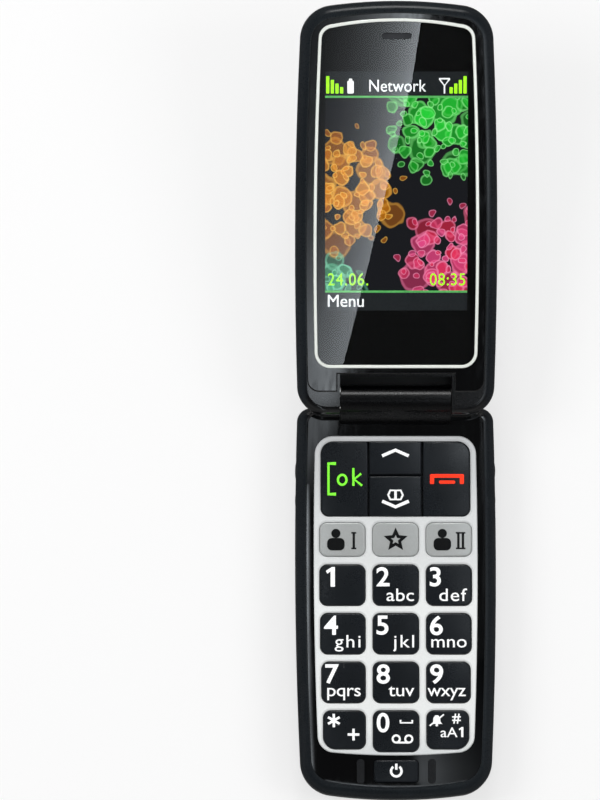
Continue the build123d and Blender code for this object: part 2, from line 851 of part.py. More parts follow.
def microphone():
    s = free_end_s - wall - mic_back
    height = mic_size[2]
    return Pos(mic_inset - half_at(s), y_at(s), pcb_z - height / 2) * Box(*mic_size)


def usb_socket():
    """Hollow metal shell with the contact tongue inside."""
    depth, width, height = usb_size
    x_out = half_at(usb_s) - usb_recess
    y = y_at(usb_s)
    top = pcb_z - fit
    x = (x_out - depth, x_out)
    body = block(x, (y - width / 2, y + width / 2), (top - height, top))
    body -= block(
        (x[0] + usb_shell, x_out + past), (y - width / 2 + usb_shell, y + width / 2 - usb_shell),
        (top - height + usb_shell, top - usb_shell),
    )
    middle = top - height / 2
    back, across, thick = usb_tongue
    return body + block((x[0], x_out - back), (y - across / 2, y + across / 2), (middle, middle + thick))


def screw_spots():
    return [(side * (half_at(s) - screw_inset), y_at(s)) for side in (-1, 1) for s in screw_s]


def screw(x, y, low, end, radius, head_radius):
    """Screw driven from below, with a cross slot in its head."""
    head = rod_z(head_radius, x, y, low, low + screw_head_height)
    length = 2 * (head_radius - slot_rim)
    for size in ((length, slot_width), (slot_width, length)):
        head -= Pos(x, y, low) * Box(*size, 2 * slot_depth)
    return head + rod_z(radius - fit, x, y, low + screw_head_height / 2, end)


def base_screws():
    low = bay_floor_z - fit - screw_head_height
    end = ledge_z - 2 * slip
    return group([screw(x, y, low, end, screw_radius, screw_head_radius) for x, y in screw_spots()])


def side_switches():
    """Two tact switches behind each rocker, soldered under the board's edge."""
    depth, length, height = switch_size
    parts = []
    middle = sum(rocker_s) / 2
    x = half_at(middle) - rocker_stem - rocker_lip - rocker_room_in - fit - depth / 2
    for side in (-1, 1):
        for offset in (-switch_offset, switch_offset):
            parts.append(
                Pos(side * x, y_at(middle + offset), pcb_z - height / 2) * Box(depth, length, height)
            )
    return group(parts)


def rocker(side):
    """Two-lobed side key: a flanged bar whose face dips in the middle."""
    middle = sum(rocker_s) / 2
    x_out = half_at(middle) + rocker_proud
    x_in = half_at(middle) - rocker_stem
    y_low, y_high = along_s(rocker_s)
    z_low, z_high = rocker_z
    y_mid = y_at(middle)
    dip = x_out - rocker_dip
    face = make_face([
        Line((x_in, y_low), (x_out - rocker_dip / 2, y_low)),
        ThreePointArc(
            (x_out - rocker_dip / 2, y_low), (x_out, (y_low + y_mid) / 2), (dip, y_mid),
        ),
        ThreePointArc((dip, y_mid), (x_out, (y_high + y_mid) / 2), (x_out - rocker_dip / 2, y_high)),
        Line((x_out - rocker_dip / 2, y_high), (x_in, y_high)),
        Line((x_in, y_high), (x_in, y_low)),
    ])
    body = prism(face, z_low, z_high)
    outer = [e for e in body.edges() if e.bounding_box().min.X > x_in + 0.5]
    body = fillet([e for e in outer if abs(e.center().Z - (z_low + z_high) / 2) > 1], rocker_round)
    body += block(
        (x_in - rocker_lip, x_in), (y_low - rocker_lip, y_high + rocker_lip),
        (z_low - rocker_lip, z_high + rocker_lip),
    )
    return body if side > 0 else mirror(body, Plane.YZ)


# ---------------------------------------------------------------- hinge
def hinge_cartridge():
    """Spring cam unit fixed in the barrel."""
    low, high = cartridge_x
    body = rod_x(cartridge_radius, low, high)
    return body - rod_x(cam_shaft_radius + fit, low + cartridge_end, high + past)


def hinge_cam():
    """Shaft of the cam unit, whose square head turns with the lid."""
    start = barrel_half + barrel_gap / 2
    body = rod_x(cam_shaft_radius, cartridge_x[0] + cartridge_end + slip, start + slip)
    head = Pos((start + cam_head_x) / 2, axis_y, axis_z) * Box(cam_head_x - start, cam_key, cam_key)
    return body + head


def hinge_pin():
    """Hollow pin on the other side, which lets the cable through."""
    body = rod_x(pin_radius, -pin_end_x, barrel_wall - barrel_half + 2 * slip)
    return body - rod_x(pin_bore, -pin_end_x - past, barrel_half)


def hinge_flex():
    """Cable rolled in the barrel, with its ribbon down to the board."""
    return rod_x(flex_radius, -pin_end_x + slip, flex_ribbon[1]) + ribbon(0)


# ---------------------------------------------------------------- lid
def lid_frame(envelope, room):
    """Inner half of the lid: rim, ledge for the fascia and the lower halves of the knuckles."""
    split = lid_low_z + lid_split
    back = lid_low_z + lid_plate_back
    body = slice_z(envelope, lid_low_z, split)
    body -= prism(fascia_plan(fit), lid_low_z - past, back)
    inside = outline(
        pocket_s + pocket_rim + ledge_width, free_end_s - free_bow - rim_width - ledge_width,
        rim_width + ledge_width, fascia_corner_hinge, free_corner - rim_width - ledge_width,
        bow_free=free_bow,
    )
    body -= prism(inside, back - past, split + past)
    body -= prism(lid_hollow(), back + lid_ledge, split + past)
    body = chamfer(rim_edges(body, lid_low_z, lid_plan((rim_round + rim_width) / 2)), rim_bevel)
    body -= room
    for x, y in lid_screw_spots():
        low = display_low_z()
        body += rod_z(lid_boss_radius, x, y, low, split)
        body -= rod_z(lid_screw_head_radius + slip, x, y, low - past, low + screw_head_height + fit)
        body -= rod_z(lid_screw_radius + fit, x, y, low, split + past)
    return body - knuckle_bores()


def lid_hollow():
    return outline(
        pocket_s + pocket_rim + wall, free_end_s - free_bow - wall, wall,
        fascia_corner_hinge, free_corner - wall, bow_free=free_bow,
    )


def lid_screw_spots():
    return [(side * (half_at(s) - lid_screw_inset), y_at(s)) for side in (-1, 1) for s in lid_screw_s]


def knuckle_bores():
    head = cam_key + 2 * fit
    start = barrel_half
    bores = rod_x(pin_radius + fit, -pin_end_x - fit, -start)
    bores += Pos((start + cam_head_x + fit) / 2, axis_y, axis_z) * Box(
        cam_head_x + fit - start, head, head
    )
    return bores


def lid_shell(core, room):
    """Outer half of the lid, under the window and the two metal panels."""
    split = lid_low_z + lid_split
    top = lid_high_z - skin - fit
    body = slice_z(core, split + fit, top)
    hollow = outline(
        pocket_s + pocket_rim + wall, free_end_s - free_bow - wall - skin, wall + skin / 2,
        fascia_corner_hinge, free_corner - wall - skin, bow_free=free_bow,
    )
    body -= prism(hollow, split - past, top - roof)
    body -= room
    body -= outer_display_block(split, top + past, fit)
    for x, y in lid_screw_spots():
        body += rod_z(lid_boss_radius - 2 * slip, x, y, split + fit, top - roof / 2)
        body -= rod_z(lid_screw_radius, x, y, split - past, top - roof)
    return body - knuckle_bores()


def lid_skin(envelope, core, room):
    """Outer layer of the lid, cut into window and panels by lid_panels."""
    layer = slice_z(envelope, lid_low_z + lid_split + fit, lid_high_z)
    layer -= core
    return layer - room - knuckle_bores()


def side_panel(layer, side):
    strip = prism(strip_plan(fit / 2), lid_low_z, lid_high_z + past)
    half = block((0, beyond), (-beyond, beyond), (0, beyond))
    return (layer - strip) & (half if side > 0 else mirror(half, Plane.YZ))


def outer_window(layer):
    return layer & prism(strip_plan(-fit / 2), lid_low_z, lid_high_z + past)


def lid_fascia():
    low = lid_low_z + lid_plate_drop
    high = lid_low_z + lid_plate_back
    body = prism(fascia_plan(), low, high)
    return body - prism(ring_plan(-fit), low - past, high + past)


def window_ring():
    low = lid_low_z + lid_plate_drop - ring_proud
    body = prism(ring_plan(), low, lid_low_z + lid_plate_back)
    body -= prism(ring_plan(ring_width), low - past, lid_high_z)
    return fillet(edges_at(body, low), ring_width * 0.3)


def inner_window():
    low = lid_low_z + lid_plate_drop + window_drop
    body = prism(ring_plan(ring_width + fit), low, low + window_thickness)
    return body - prism(ear_plan(0), low - past, low + window_thickness + past)


def ear_plan(grow):
    width, height = ear_slot
    return Pos(0, y_at(ear_s)) * SlotOverall(width + 2 * grow, height + 2 * grow)


def earpiece_mesh():
    low = lid_low_z + lid_plate_drop + window_drop + mesh_drop
    return prism(ear_plan(-fit), low, low + mesh_thickness)


def inner_display():
    low = display_low_z()
    s = (display_s[0] - display_border, display_s[1] + display_border)
    half = display_half + display_border
    return block((-half, half), along_s(s), (low, low + display_thickness))


def display_low_z():
    return lid_low_z + lid_plate_drop + window_drop + window_thickness + fit


def lid_board_z():
    return display_low_z() + display_thickness + lid_board_drop


def lid_board():
    low = lid_board_z()
    board = block(
        (-lid_board_half, lid_board_half), along_s(lid_board_s), (low, low + lid_board_thickness)
    )
    board = fillet(board.edges().filter_by(Axis.Z), lid_board_corner)
    for x, y in lid_screw_spots():
        board -= rod_z(lid_boss_radius + slip, x, y, low - past, low + lid_board_thickness + past)
    return board


def outer_display_block(low, high, grow=0.0):
    """Box of the outer display's lit area with its border."""
    border = outer_display_border + grow
    half = outer_display_half + border
    s_low, s_high = outer_display_s
    return block((-half, half), along_s((s_low - border, s_high + border)), (low, high))


def outer_display():
    return outer_display_block(lid_board_z() + lid_board_thickness + fit, lid_high_z - skin - fit)


def earpiece():
    width, length = earpiece_size
    low = display_low_z()
    body = Pos(0, y_at(ear_s), low + earpiece_thickness / 2) * Box(width, length, earpiece_thickness)
    body = fillet(body.edges().filter_by(Axis.Z), earpiece_corner)
    length, height, depth = sound_port
    return body - Pos(0, y_at(ear_s), low) * Box(length, height, 2 * depth)


def lid_magnet():
    width, length = magnet_size
    low = lid_board_z() + lid_board_thickness + fit
    top = lid_high_z - skin - roof - fit
    return Pos(magnet_x, y_at(magnet_s), (low + top) / 2) * Box(width, length, top - low)


def lid_screws():
    low = display_low_z()
    end = lid_high_z - skin - roof - fit
    return group([
        screw(x, y, low, end, lid_screw_radius, lid_screw_head_radius) for x, y in lid_screw_spots()
    ])


# ---------------------------------------------------------------- assembly
digit_names = [
    ["key_1", "key_2", "key_3"],
    ["key_4", "key_5", "key_6"],
    ["key_7", "key_8", "key_9"],
    ["key_star", "key_0", "key_hash"],
]
memory_names = ["memory_key_left", "favourite_key", "memory_key_right"]


def base_parts():
    envelope = base_envelope()
    parts = {
        "rear_housing": rear_housing(envelope),
        "front_frame": front_frame(envelope),
        "battery_cover": battery_cover(envelope),
        "face_plate": face_plate(),
        "keypad_bezel": keypad_bezel(),
        "keypad_mat": keypad_mat(),
        "dome_sheet": dome_sheet(),
        "main_board": main_board(),
        "shield_cans": shield_cans(),
        "battery": battery(),
        "battery_contacts": battery_contacts(),
        "sim_holder": sim_holder(),
        "loudspeaker": loudspeaker(),
        "vibration_motor": vibration_motor(),
        "microphone": microphone(),
        "usb_socket": usb_socket(),
        "base_screws": base_screws(),
        "bumper_pads": bumper_pads(),
        "side_switches": side_switches(),
        "hinge_cartridge": hinge_cartridge(),
        "hinge_flex": hinge_flex(),
        "power_key": power_key(),
        "volume_rocker": rocker(-1),
        "right_rocker": rocker(1),
    }
    for row, names in enumerate(digit_names):
        for column, name in enumerate(names):
            parts[name] = digit_key(column - 1, row)
    for column, name in enumerate(memory_names):
        parts[name] = memory_key(column - 1)
    for name, cell in nav_cells().items():
        parts[name] = nav_key(cell)
    return parts


def lid_parts():
    envelope = lid_envelope()
    core = lid_envelope(skin)
    room = hinge_room()
    layer = lid_skin(envelope, core, room)
    return {
        "lid_frame": lid_frame(envelope, room),
        "lid_shell": lid_shell(lid_envelope(skin + fit), room),
        "side_panel_left": side_panel(layer, -1),
        "side_panel_right": side_panel(layer, 1),
        "outer_window": outer_window(layer),
        "lid_fascia": lid_fascia(),
        "window_ring": window_ring(),
        "inner_window": inner_window(),
        "earpiece_mesh": earpiece_mesh(),
        "inner_display": inner_display(),
        "outer_display": outer_display(),
        "lid_board": lid_board(),
        "earpiece": earpiece(),
        "lid_magnet": lid_magnet(),
        "lid_screws": lid_screws(),
        "hinge_cam": hinge_cam(),
        "hinge_pin": hinge_pin(),
    }


os.makedirs("parts", exist_ok=True)
for name, part in base_parts().items():
    export_step(part, f"parts/{name}.step")
for name, part in lid_parts().items():
    export_step(opened(part), f"parts/{name}.step")
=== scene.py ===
import json
import math

import bpy
from mathutils import Matrix, Vector
from mathutils.geometry import convex_hull_2d


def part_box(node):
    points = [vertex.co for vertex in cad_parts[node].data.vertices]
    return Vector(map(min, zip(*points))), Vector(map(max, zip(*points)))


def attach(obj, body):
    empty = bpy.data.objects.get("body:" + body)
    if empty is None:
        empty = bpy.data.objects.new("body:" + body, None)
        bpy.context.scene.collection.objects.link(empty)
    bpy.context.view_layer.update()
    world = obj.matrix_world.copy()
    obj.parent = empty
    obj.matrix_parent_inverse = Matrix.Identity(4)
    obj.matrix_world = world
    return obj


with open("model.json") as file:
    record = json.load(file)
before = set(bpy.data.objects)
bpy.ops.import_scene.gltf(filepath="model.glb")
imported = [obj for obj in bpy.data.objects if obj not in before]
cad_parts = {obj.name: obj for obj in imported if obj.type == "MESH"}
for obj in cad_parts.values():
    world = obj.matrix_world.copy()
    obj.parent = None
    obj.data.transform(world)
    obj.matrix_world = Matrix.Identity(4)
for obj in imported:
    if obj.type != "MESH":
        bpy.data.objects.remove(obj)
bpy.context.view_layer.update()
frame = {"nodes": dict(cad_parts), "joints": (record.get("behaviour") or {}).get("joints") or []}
nodes = frame["nodes"]
mm = 0.001

# Flat work is drawn in millimetres on a sheet, x across and y along the phone, and laid on its face.
hingeJoint = next(joint for joint in frame["joints"] if joint["name"] == "lid_hinge")
hinge = Vector(hingeJoint["pos_m"])
openAngle = math.radians(hingeJoint["range_deg"][1])
sheetScale = Matrix.Scale(mm, 4)
lidSwing = Matrix.Translation(hinge) @ Matrix.Rotation(-openAngle, 4, "X")
basePlace = sheetScale
hingePlace = Matrix.Translation((0, hinge.y, 0)) @ sheetScale  # the base, with y counted from the hinge
innerPlace = lidSwing @ Matrix.Rotation(math.pi, 4, "X") @ sheetScale  # y runs from the hinge to the free end
outerPlace = lidSwing @ sheetScale  # y runs back to the hinge, as the shut lid is read


class Wire:
    # Wraps a socket, so that sums written with it add their own nodes.
    def __init__(self, wiring, socket):
        self.wiring = wiring
        self.socket = socket

    def maths(self, operation, other=0.0, swapped=False):
        first, second = (other, self) if swapped else (self, other)
        return self.wiring.node("Math", {"operation": operation}, {0: first, 1: second})

    def __add__(self, other):
        return self.maths("ADD", other)

    def __sub__(self, other):
        return self.maths("SUBTRACT", other)

    def __rsub__(self, other):
        return self.maths("SUBTRACT", other, True)

    def __mul__(self, other):
        return self.maths("MULTIPLY", other)

    def __lt__(self, other):
        return self.maths("LESS_THAN", other)

    def __gt__(self, other):
        return self.maths("GREATER_THAN", other)

    def most(self, other):
        return self.maths("MAXIMUM", other)

    __radd__ = __add__
    __rmul__ = __mul__


def tone(colour):
    # A screen colour, 0 to 255, as the linear colour that a shader takes.
    def straight(value):
        value /= 255
        return value / 12.92 if value <= 0.04045 else ((value + 0.055) / 1.055) ** 2.4
    return (*[straight(value) for value in colour], 1.0)


class Wiring:
    # The nodes of a material or of the world.
    def __init__(self, tree):
        self.tree = tree

    def node(self, kind, settings, inputs, output=0):
        made = self.tree.nodes.new("ShaderNode" + kind)
        for name, value in settings.items():
            setattr(made, name, value)
        for socket, value in inputs.items():
            self.plug(value, made.inputs[socket])
        return Wire(self, made.outputs[output])

    def plug(self, value, socket):
        if isinstance(value, Wire):
            self.tree.links.new(value.socket, socket)
        else:
            socket.default_value = value

    def axis(self, vector, index):
        return self.node("SeparateXYZ", {}, {"Vector": vector}, index)

    def place(self):
        return self.node("TexCoord", {}, {}, "Object")

    def rays(self):
        kinds = ("Camera", "Glossy", "Transmission")
        return [self.node("LightPath", {}, {}, f"Is {kind} Ray") for kind in kinds]

    def sheet(self, matrix):
        # Object coordinates read back in the sheet's own millimetres.
        move, turn, scale = matrix.to_translation(), matrix.to_euler(), matrix.to_scale()
        inputs = {"Vector": self.place(), "Location": move, "Rotation": turn, "Scale": scale}
        return self.node("Mapping", {"vector_type": "TEXTURE"}, inputs)

    def stretched(self, vector, scale, turn=(0, 0, 0)):
        return self.node("Mapping", {}, {"Vector": vector, "Rotation": turn, "Scale": scale})

    def noise(self, vector, scale, detail=2.0, roughness=0.5):
        inputs = {"Vector": vector, "Scale": scale, "Detail": detail, "Roughness": roughness}
        return self.node("TexNoise", {}, inputs)

    def chance(self, colour):
        # A random cell colour as one random number.
        return self.node("SeparateColor", {}, {"Color": colour}, 0)

    def blend(self, factor, first, second, kind="MIX"):
        settings = {"data_type": "RGBA", "blend_type": kind}
        return self.node("Mix", settings, {0: factor, 6: first, 7: second}, 2)

    def between(self, value, low, high, fromLow=0.0, fromHigh=1.0, smooth=False):
        settings = {"interpolation_type": "SMOOTHSTEP" if smooth else "LINEAR"}
        inputs = {0: value, 1: fromLow, 2: fromHigh, 3: low, 4: high}
        return self.node("MapRange", settings, inputs)

    def shaded(self, value, fromLow, fromHigh, first, second, smooth=False):
        # From one screen colour to another as the value rises.
        share = self.between(value, 0.0, 1.0, fromLow, fromHigh, smooth)
        return self.blend(share, tone(first), tone(second))

    def paintShade(self, colour, along, shadeBands):
        # Paints shade: each band darkens the colour by its tint from one place along the phone to another.
        for places, tint in shadeBands:
            shade = self.between(along, 0.0, 1.0, *places, True)
            colour = self.blend(shade, colour, tint, "MULTIPLY")
        return colour

    def bump(self, height, strength, depth):
        return self.node("Bump", {}, {"Height": height, "Strength": strength, "Distance": depth})


class Finish(Wiring):
    # A material; a socket with a space in its name is written with an underscore.
    def __init__(self, name, **fixed):
        self.material = bpy.data.materials.new(name)
        self.material.use_nodes = True
        super().__init__(self.material.node_tree)
        self.shader = self.tree.nodes["Principled BSDF"]
        self.drive(**fixed)

    def drive(self, **sockets):
        for name, value in sockets.items():
            self.plug(value, self.shader.inputs[name.replace("_", " ")])
        return self.material

    def surface(self, shader):
        self.plug(shader, self.tree.nodes["Material Output"].inputs["Surface"])


# Scales are turns a metre, depths are in metres, and most values of a noise lie in these spreads.
fullSpread, midSpread = (0.3, 0.7), (0.35, 0.65)
moulding = {"flow": (60, 14, 60), "polish": 130.0, "depth": 0.00003}


def mouldedSkin(finish, look):
    # Spark-eroded grain over faint flow marks.
    place = finish.place()
    grain = finish.noise(place, look["fine"], detail=3.0, roughness=0.6)
    flow = finish.noise(finish.stretched(place, moulding["flow"]), 1.0, detail=3.0)
    normal = finish.bump(grain, look["grain"], moulding["depth"])
    return place, grain, finish.shaded(flow, *midSpread, look["dark"], look["light"]), normal


def mouldedPlastic(name, look):
    # Matte moulded plastic with handling polish.
    finish = Finish(name)
    place, grain, colour, normal = mouldedSkin(finish, look)
    polish = finish.noise(place, moulding["polish"])
    rough = finish.between(polish * 0.6 + grain * 0.4, *look["rough"], *fullSpread)
    return finish.drive(Base_Color=colour, Roughness=rough, Normal=normal)


def housingFinish(name, look):
    # The frames are satin at their rims and glossy black about the hinge, polished on both sides of the barrel.
    # The black about the hinge is darker than the plastic, as painted shade in the recess, on the skirt and under
    # the barrel.
    finish = Finish(name, Coat_Roughness=0.06, Coat_IOR=1.6, Specular_IOR_Level=0.4)
    place, grain, colour, normal = mouldedSkin(finish, look)
    across = finish.axis(place, 0).maths("ABSOLUTE")
    away = (finish.axis(place, 1) - hinge.y).maths("ABSOLUTE")
    hingeBlackAndShade = finish.between(away, 1.0, 0.0, *look["reach"], True)
    hingeBlackAndShade *= finish.between(across, 1.0, 0.0, *look["width"], True)
    hingeBlackAndShade *= finish.between(finish.axis(place, 2), 0.0, 1.0, *look["height"], True)
    # Painted shade: the hinge tone blackens the recess, the skirt and the barrel's underside.
    return finish.drive(
        Base_Color=finish.blend(hingeBlackAndShade, colour, tone(look["hingeBlackAndShade"])),
        Roughness=finish.between(grain, *look["rough"], *fullSpread),
        Coat_Weight=hingeBlackAndShade * (across > look["barrel"]), Normal=normal,
    )


gloss = {"wipe": (900, 90, 900), "wipeTurn": (0, 0, 0.5), "ripple": 55.0, "strength": 0.05, "depth": 0.0002}


def glossPlastic(name, look):
    # Piano-black face: almost mirror smooth, with faint ripple and fine wiping marks.
    finish = Finish(name, IOR=1.5, Specular_IOR_Level=look["shine"])
    place = finish.place()
    wipe = finish.noise(finish.stretched(place, gloss["wipe"], gloss["wipeTurn"]), 1.0, detail=4.0)
    ripple = finish.noise(place, gloss["ripple"], detail=1.0)
    colour = finish.shaded(ripple, *fullSpread, look["dark"], look["light"])
    rough = finish.between(wipe, *look["rough"], 0.35, 0.75)
    normal = finish.bump(ripple, gloss["strength"], gloss["depth"])
    return finish.drive(Base_Color=colour, Roughness=rough, Normal=normal)


lacquer = {"flake": 9000.0, "cloud": 160.0, "coatRough": 0.12}


def metallicPaint(name, look):
    # Silver lacquer: fine flake under a clear coat, with painted shade along the phone where the look gives shade
    # bands.
    finish = Finish(name, IOR=1.5, Coat_Roughness=lacquer["coatRough"], Coat_Weight=look["coat"])
    place = finish.place()
    flake = finish.node("TexVoronoi", {}, {"Vector": place, "Scale": lacquer["flake"]}, "Color")
    sparkle = finish.chance(flake)
    cloud = finish.noise(place, lacquer["cloud"])
    colour = finish.shaded(sparkle * 0.5 + cloud * 0.5, *fullSpread, look["dark"], look["light"])
    # Painted shade: the bands darken the lacquer along the phone.
    if "shadeBands" in look:
        colour = finish.paintShade(colour, finish.axis(place, 1), look["shadeBands"])
    metal = finish.between(cloud, *look["metal"], *fullSpread)
    return finish.drive(Base_Color=colour, Roughness=finish.between(sparkle, *look["rough"]), Metallic=metal)


brushing = {"hair": (5200, 22, 5200), "band": (420, 7, 420), "depth": 0.00002}


def brushedMetal(name, look, tilt, matrix):
    # Hairlines run along the panel; the broad noise bands keep it from looking ruled. Painted reflection: the
    # shade bands darken the panel along its length.
    finish = Finish(name, Anisotropic=0.5)
    place = finish.stretched(finish.place(), (1, 1, 1), (tilt, 0, 0))
    hair = finish.noise(finish.stretched(place, brushing["hair"]), 1.0, detail=4.0, roughness=0.65)
    band = finish.noise(finish.stretched(place, brushing["band"]), 1.0, detail=3.0)
    colour = finish.shaded(hair * 0.6 + band * 0.4, *midSpread, look["dark"], look["light"])
    # Painted reflection gradient: lighter about the middle, darker towards the hinge and much darker towards the
    # free end.
    colour = finish.paintShade(colour, finish.axis(finish.sheet(matrix), 1), look["shadeBands"])
    rough = finish.between(hair, *look["rough"], *midSpread)
    metal = finish.between(band, *look["metal"])
    normal = finish.bump(hair, look["grain"], brushing["depth"])
    return finish.drive(Base_Color=colour, Roughness=rough, Metallic=metal, Normal=normal)


def plainMetal(name, worn, bright, rough, marks):
    # Bare or plated metal that is duller where it is worn.
    finish = Finish(name)
    wear = finish.noise(finish.place(), marks, detail=4.0, roughness=0.6)
    colour = finish.shaded(wear, 0.35, 0.7, bright, worn)
    rough = finish.between(wear, *rough, *fullSpread)
    metal = finish.between(wear, 1.0, 0.9, 0.5, 0.8)
    normal = finish.bump(wear, strength=0.1, depth=0.00002)
    return finish.drive(Base_Color=colour, Roughness=rough, Metallic=metal, Normal=normal)


lens = {"smear": (70, 25, 70), "turn": (0, 0, 0.6)}


def lensPlastic(name, look):
    # Clear or smoked window with faint smears.
    finish = Finish(name, IOR=1.49, Transmission_Weight=1.0)
    smear = finish.noise(finish.stretched(finish.place(), lens["smear"], lens["turn"]), 1.0, detail=3.0)
    colour = finish.blend(smear, tone(look["dark"]), tone(look["light"]))
    return finish.drive(Base_Color=colour, Roughness=finish.between(smear, 0.0, look["haze"], 0.55, 0.9))


def softRubber(name, look):
    # Dull rubber with pores and a little dust.
    finish = Finish(name, Sheen_Weight=0.04)
    place = finish.place()
    pore = finish.noise(place, look["pores"], detail=3.0)
    dust = finish.noise(place, look["dust"], detail=3.0)
    colour = finish.shaded(dust, 0.4, 0.75, look["dark"], look["light"])
    rough = finish.between(pore, 0.6, 0.8, *fullSpread)
    normal = finish.bump(pore, strength=0.3, depth=0.00004)
    return finish.drive(Base_Color=colour, Roughness=rough, Normal=normal)


def circuitBoard(name, look):
    # Solder mask over copper tracks, with plated pads.
    finish = Finish(name, IOR=1.5)
    place = finish.place()
    cells = {"Vector": place, "Scale": look["trackScale"], "Randomness": 0.35}
    edge = finish.node("TexVoronoi", {"feature": "DISTANCE_TO_EDGE", "distance": "EUCLIDEAN"}, cells)
    track = edge < look["trackWidth"]
    dots = finish.node("TexVoronoi", {}, {"Vector": place, "Scale": look["padScale"], "Randomness": 0.2})
    pad = dots < look["padSize"]
    mask = finish.blend(track, tone(look["mask"]), tone(look["track"]))
    colour = finish.blend(pad, mask, tone(look["pad"]))
    rough = finish.between(finish.noise(place, scale=700.0), 0.3, 0.45)
    normal = finish.bump(track * 0.6 + pad * 0.4, strength=0.4, depth=0.00004)
    return finish.drive(Base_Color=colour, Roughness=rough, Metallic=pad * 0.9, Normal=normal)


def wovenMesh(name, look, matrix):
    # Round wires crossing at right angles.
    finish = Finish(name)
    place = finish.sheet(matrix)
    turns = 2 * math.pi / look["pitch"]
    warp = (finish.axis(place, 0) * turns).maths("SINE")
    weft = (finish.axis(place, 1) * turns).maths("SINE")
    wire = warp.most(weft)
    colour = finish.shaded(wire, -0.2, 0.8, look["dark"], look["light"], True)
    rough = finish.between(wire, 0.6, 0.35)
    normal = finish.bump(wire, strength=0.6, depth=0.00008)
    return finish.drive(Base_Color=colour, Roughness=rough, Metallic=wire.most(0.0) * 0.6, Normal=normal)


def printedInk(name, thin, full, glow, shine):
    # Ink or lit legend on a key or a display, a little thin in places.
    finish = Finish(name, Emission_Strength=glow, Specular_IOR_Level=shine)
    cover = finish.noise(finish.place(), scale=1500.0, detail=3.0)
    colour = finish.shaded(cover, 0.2, 0.6, thin, full)
    return finish.drive(Base_Color=colour, Emission_Color=colour, Roughness=finish.between(cover, 0.35, 0.5))


bubble = {
    "swirl": 0.3, "least": 0.72, "edge": (-0.02, 0.02), "rim": (-0.09, -0.04), "heart": 0.12, "fade": 0.5,
    "rimCover": 0.2,
}


def bubblePicture(name, look, matrix):
    # Overlapping bubbles, tinted by the cluster that their middle lies in, on black. A layer is the size of
    # its cells, the bubbles' size in them, how loosely they lie, its turn, and how solid they and their rims
    # are. A cluster is its middle, radius and raggedness, two tones and the tone of the rims.
    finish = Finish(name, Emission_Strength=look["glow"], Specular_IOR_Level=0.0, Base_Color=(0, 0, 0, 1))
    sheet = finish.sheet(matrix)
    inputs = {"Vector": sheet, "Scale": bubble["swirl"], "Detail": 1.0}
    swirl = finish.node("TexNoise", {"noise_dimensions": "2D"}, inputs, 1)
    drift = look["wobble"]
    centred = {0: swirl, 1: (drift, drift, 0), 2: (-drift / 2, -drift / 2, 0)}
    swirl = finish.node("VectorMath", {"operation": "MULTIPLY_ADD"}, centred)
    warped = finish.node("VectorMath", {"operation": "ADD"}, {0: sheet, 1: swirl})
    picture = tone(look["ground"])
    for cell, size, loose, twist, solid, ring in look["layers"]:
        turn = (0, 0, twist)
        turned = finish.stretched(warped, (1, 1, 1), turn)
        inputs = {"Vector": turned, "Scale": 1 / cell, "Randomness": loose}
        distance = finish.node("TexVoronoi", {"voronoi_dimensions": "2D"}, inputs)
        bubbles = distance.socket.node
        chance = finish.chance(Wire(finish, bubbles.outputs["Color"]))
        inputs = {"Vector": Wire(finish, bubbles.outputs["Position"]), "Rotation": turn}
        middle = finish.node("Mapping", {"vector_type": "TEXTURE"}, inputs)
        edge = distance - size * (bubble["least"] + chance * (1 - bubble["least"]))
        inside = finish.between(edge, 1.0, 0.0, *bubble["edge"], True)
        rim = finish.between(edge, 0.0, 1.0, *bubble["rim"], True)
        for centre, radius, ragged, first, second, bright in look["clusters"]:
            inputs = {0: middle, 1: (*centre, 0.0)}
            reach = finish.node("VectorMath", {"operation": "DISTANCE"}, inputs, "Value")
            near = (reach + chance * ragged) < radius
            tint = finish.blend(chance, tone(first), tone(second))
            lit = finish.blend(rim * ring, tint, tone(bright))
            cover = finish.between(reach, solid + bubble["heart"], solid * bubble["fade"], 0.0, radius)
            picture = finish.blend(inside * near * (cover + rim * bubble["rimCover"]), picture, lit)
    return finish.drive(Emission_Color=picture, Roughness=finish.between(finish.noise(sheet, 0.5), 0.3, 0.4))


print("finishes")
darkHousing = {
    "dark": (21, 25, 29), "light": (27, 32, 36), "rough": (0.26, 0.32), "grain": 0.1, "fine": 3400.0,
    # The hinge part, glossy black and darkened further as painted shade in the recess, on the skirt and under the
    # barrel: its tone, its reach from the hinge, its half width and its height, and the barrel's half width.
    "hingeBlackAndShade": (2, 2, 3), "reach": (0.0088, 0.0102), "width": (0.0205, 0.0222), "height": (0.0092, 0.0104),
    "barrel": 0.0134,
}
pianoBlack = {"dark": (4, 4, 5), "light": (7, 8, 9), "rough": (0.03, 0.09), "shine": 0.75}
displayBack = {"dark": (5, 6, 7), "light": (10, 11, 13), "rough": (0.08, 0.16), "shine": 0.2}
bezelPaint = {
    "dark": (236, 239, 238), "light": (246, 248, 247), "rough": (0.28, 0.34),
    "metal": (0.02, 0.08), "coat": 0.25,
    # The bands darken the lacquer towards the hinge end, round the memory keys, and towards the foot: painted
    # shade, with a duller grey of the paint round the memory keys.
    "shadeBands": [
        ((-0.002, 0.010), (0.86, 0.86, 0.87, 1)), ((0.012, 0.034), (0.80, 0.80, 0.81, 1)),
        ((-0.032, -0.041), (0.80, 0.81, 0.82, 1)),
    ],
}
memoryPaint = {
    "dark": (186, 189, 188), "light": (196, 199, 198), "rough": (0.28, 0.34),
    "metal": (0.3, 0.4), "coat": 0.2,
}
ringMetal = {
    "dark": (236, 241, 233), "light": (246, 249, 244), "rough": (0.16, 0.22),
    "metal": (0.05, 0.15), "coat": 0.4,
}
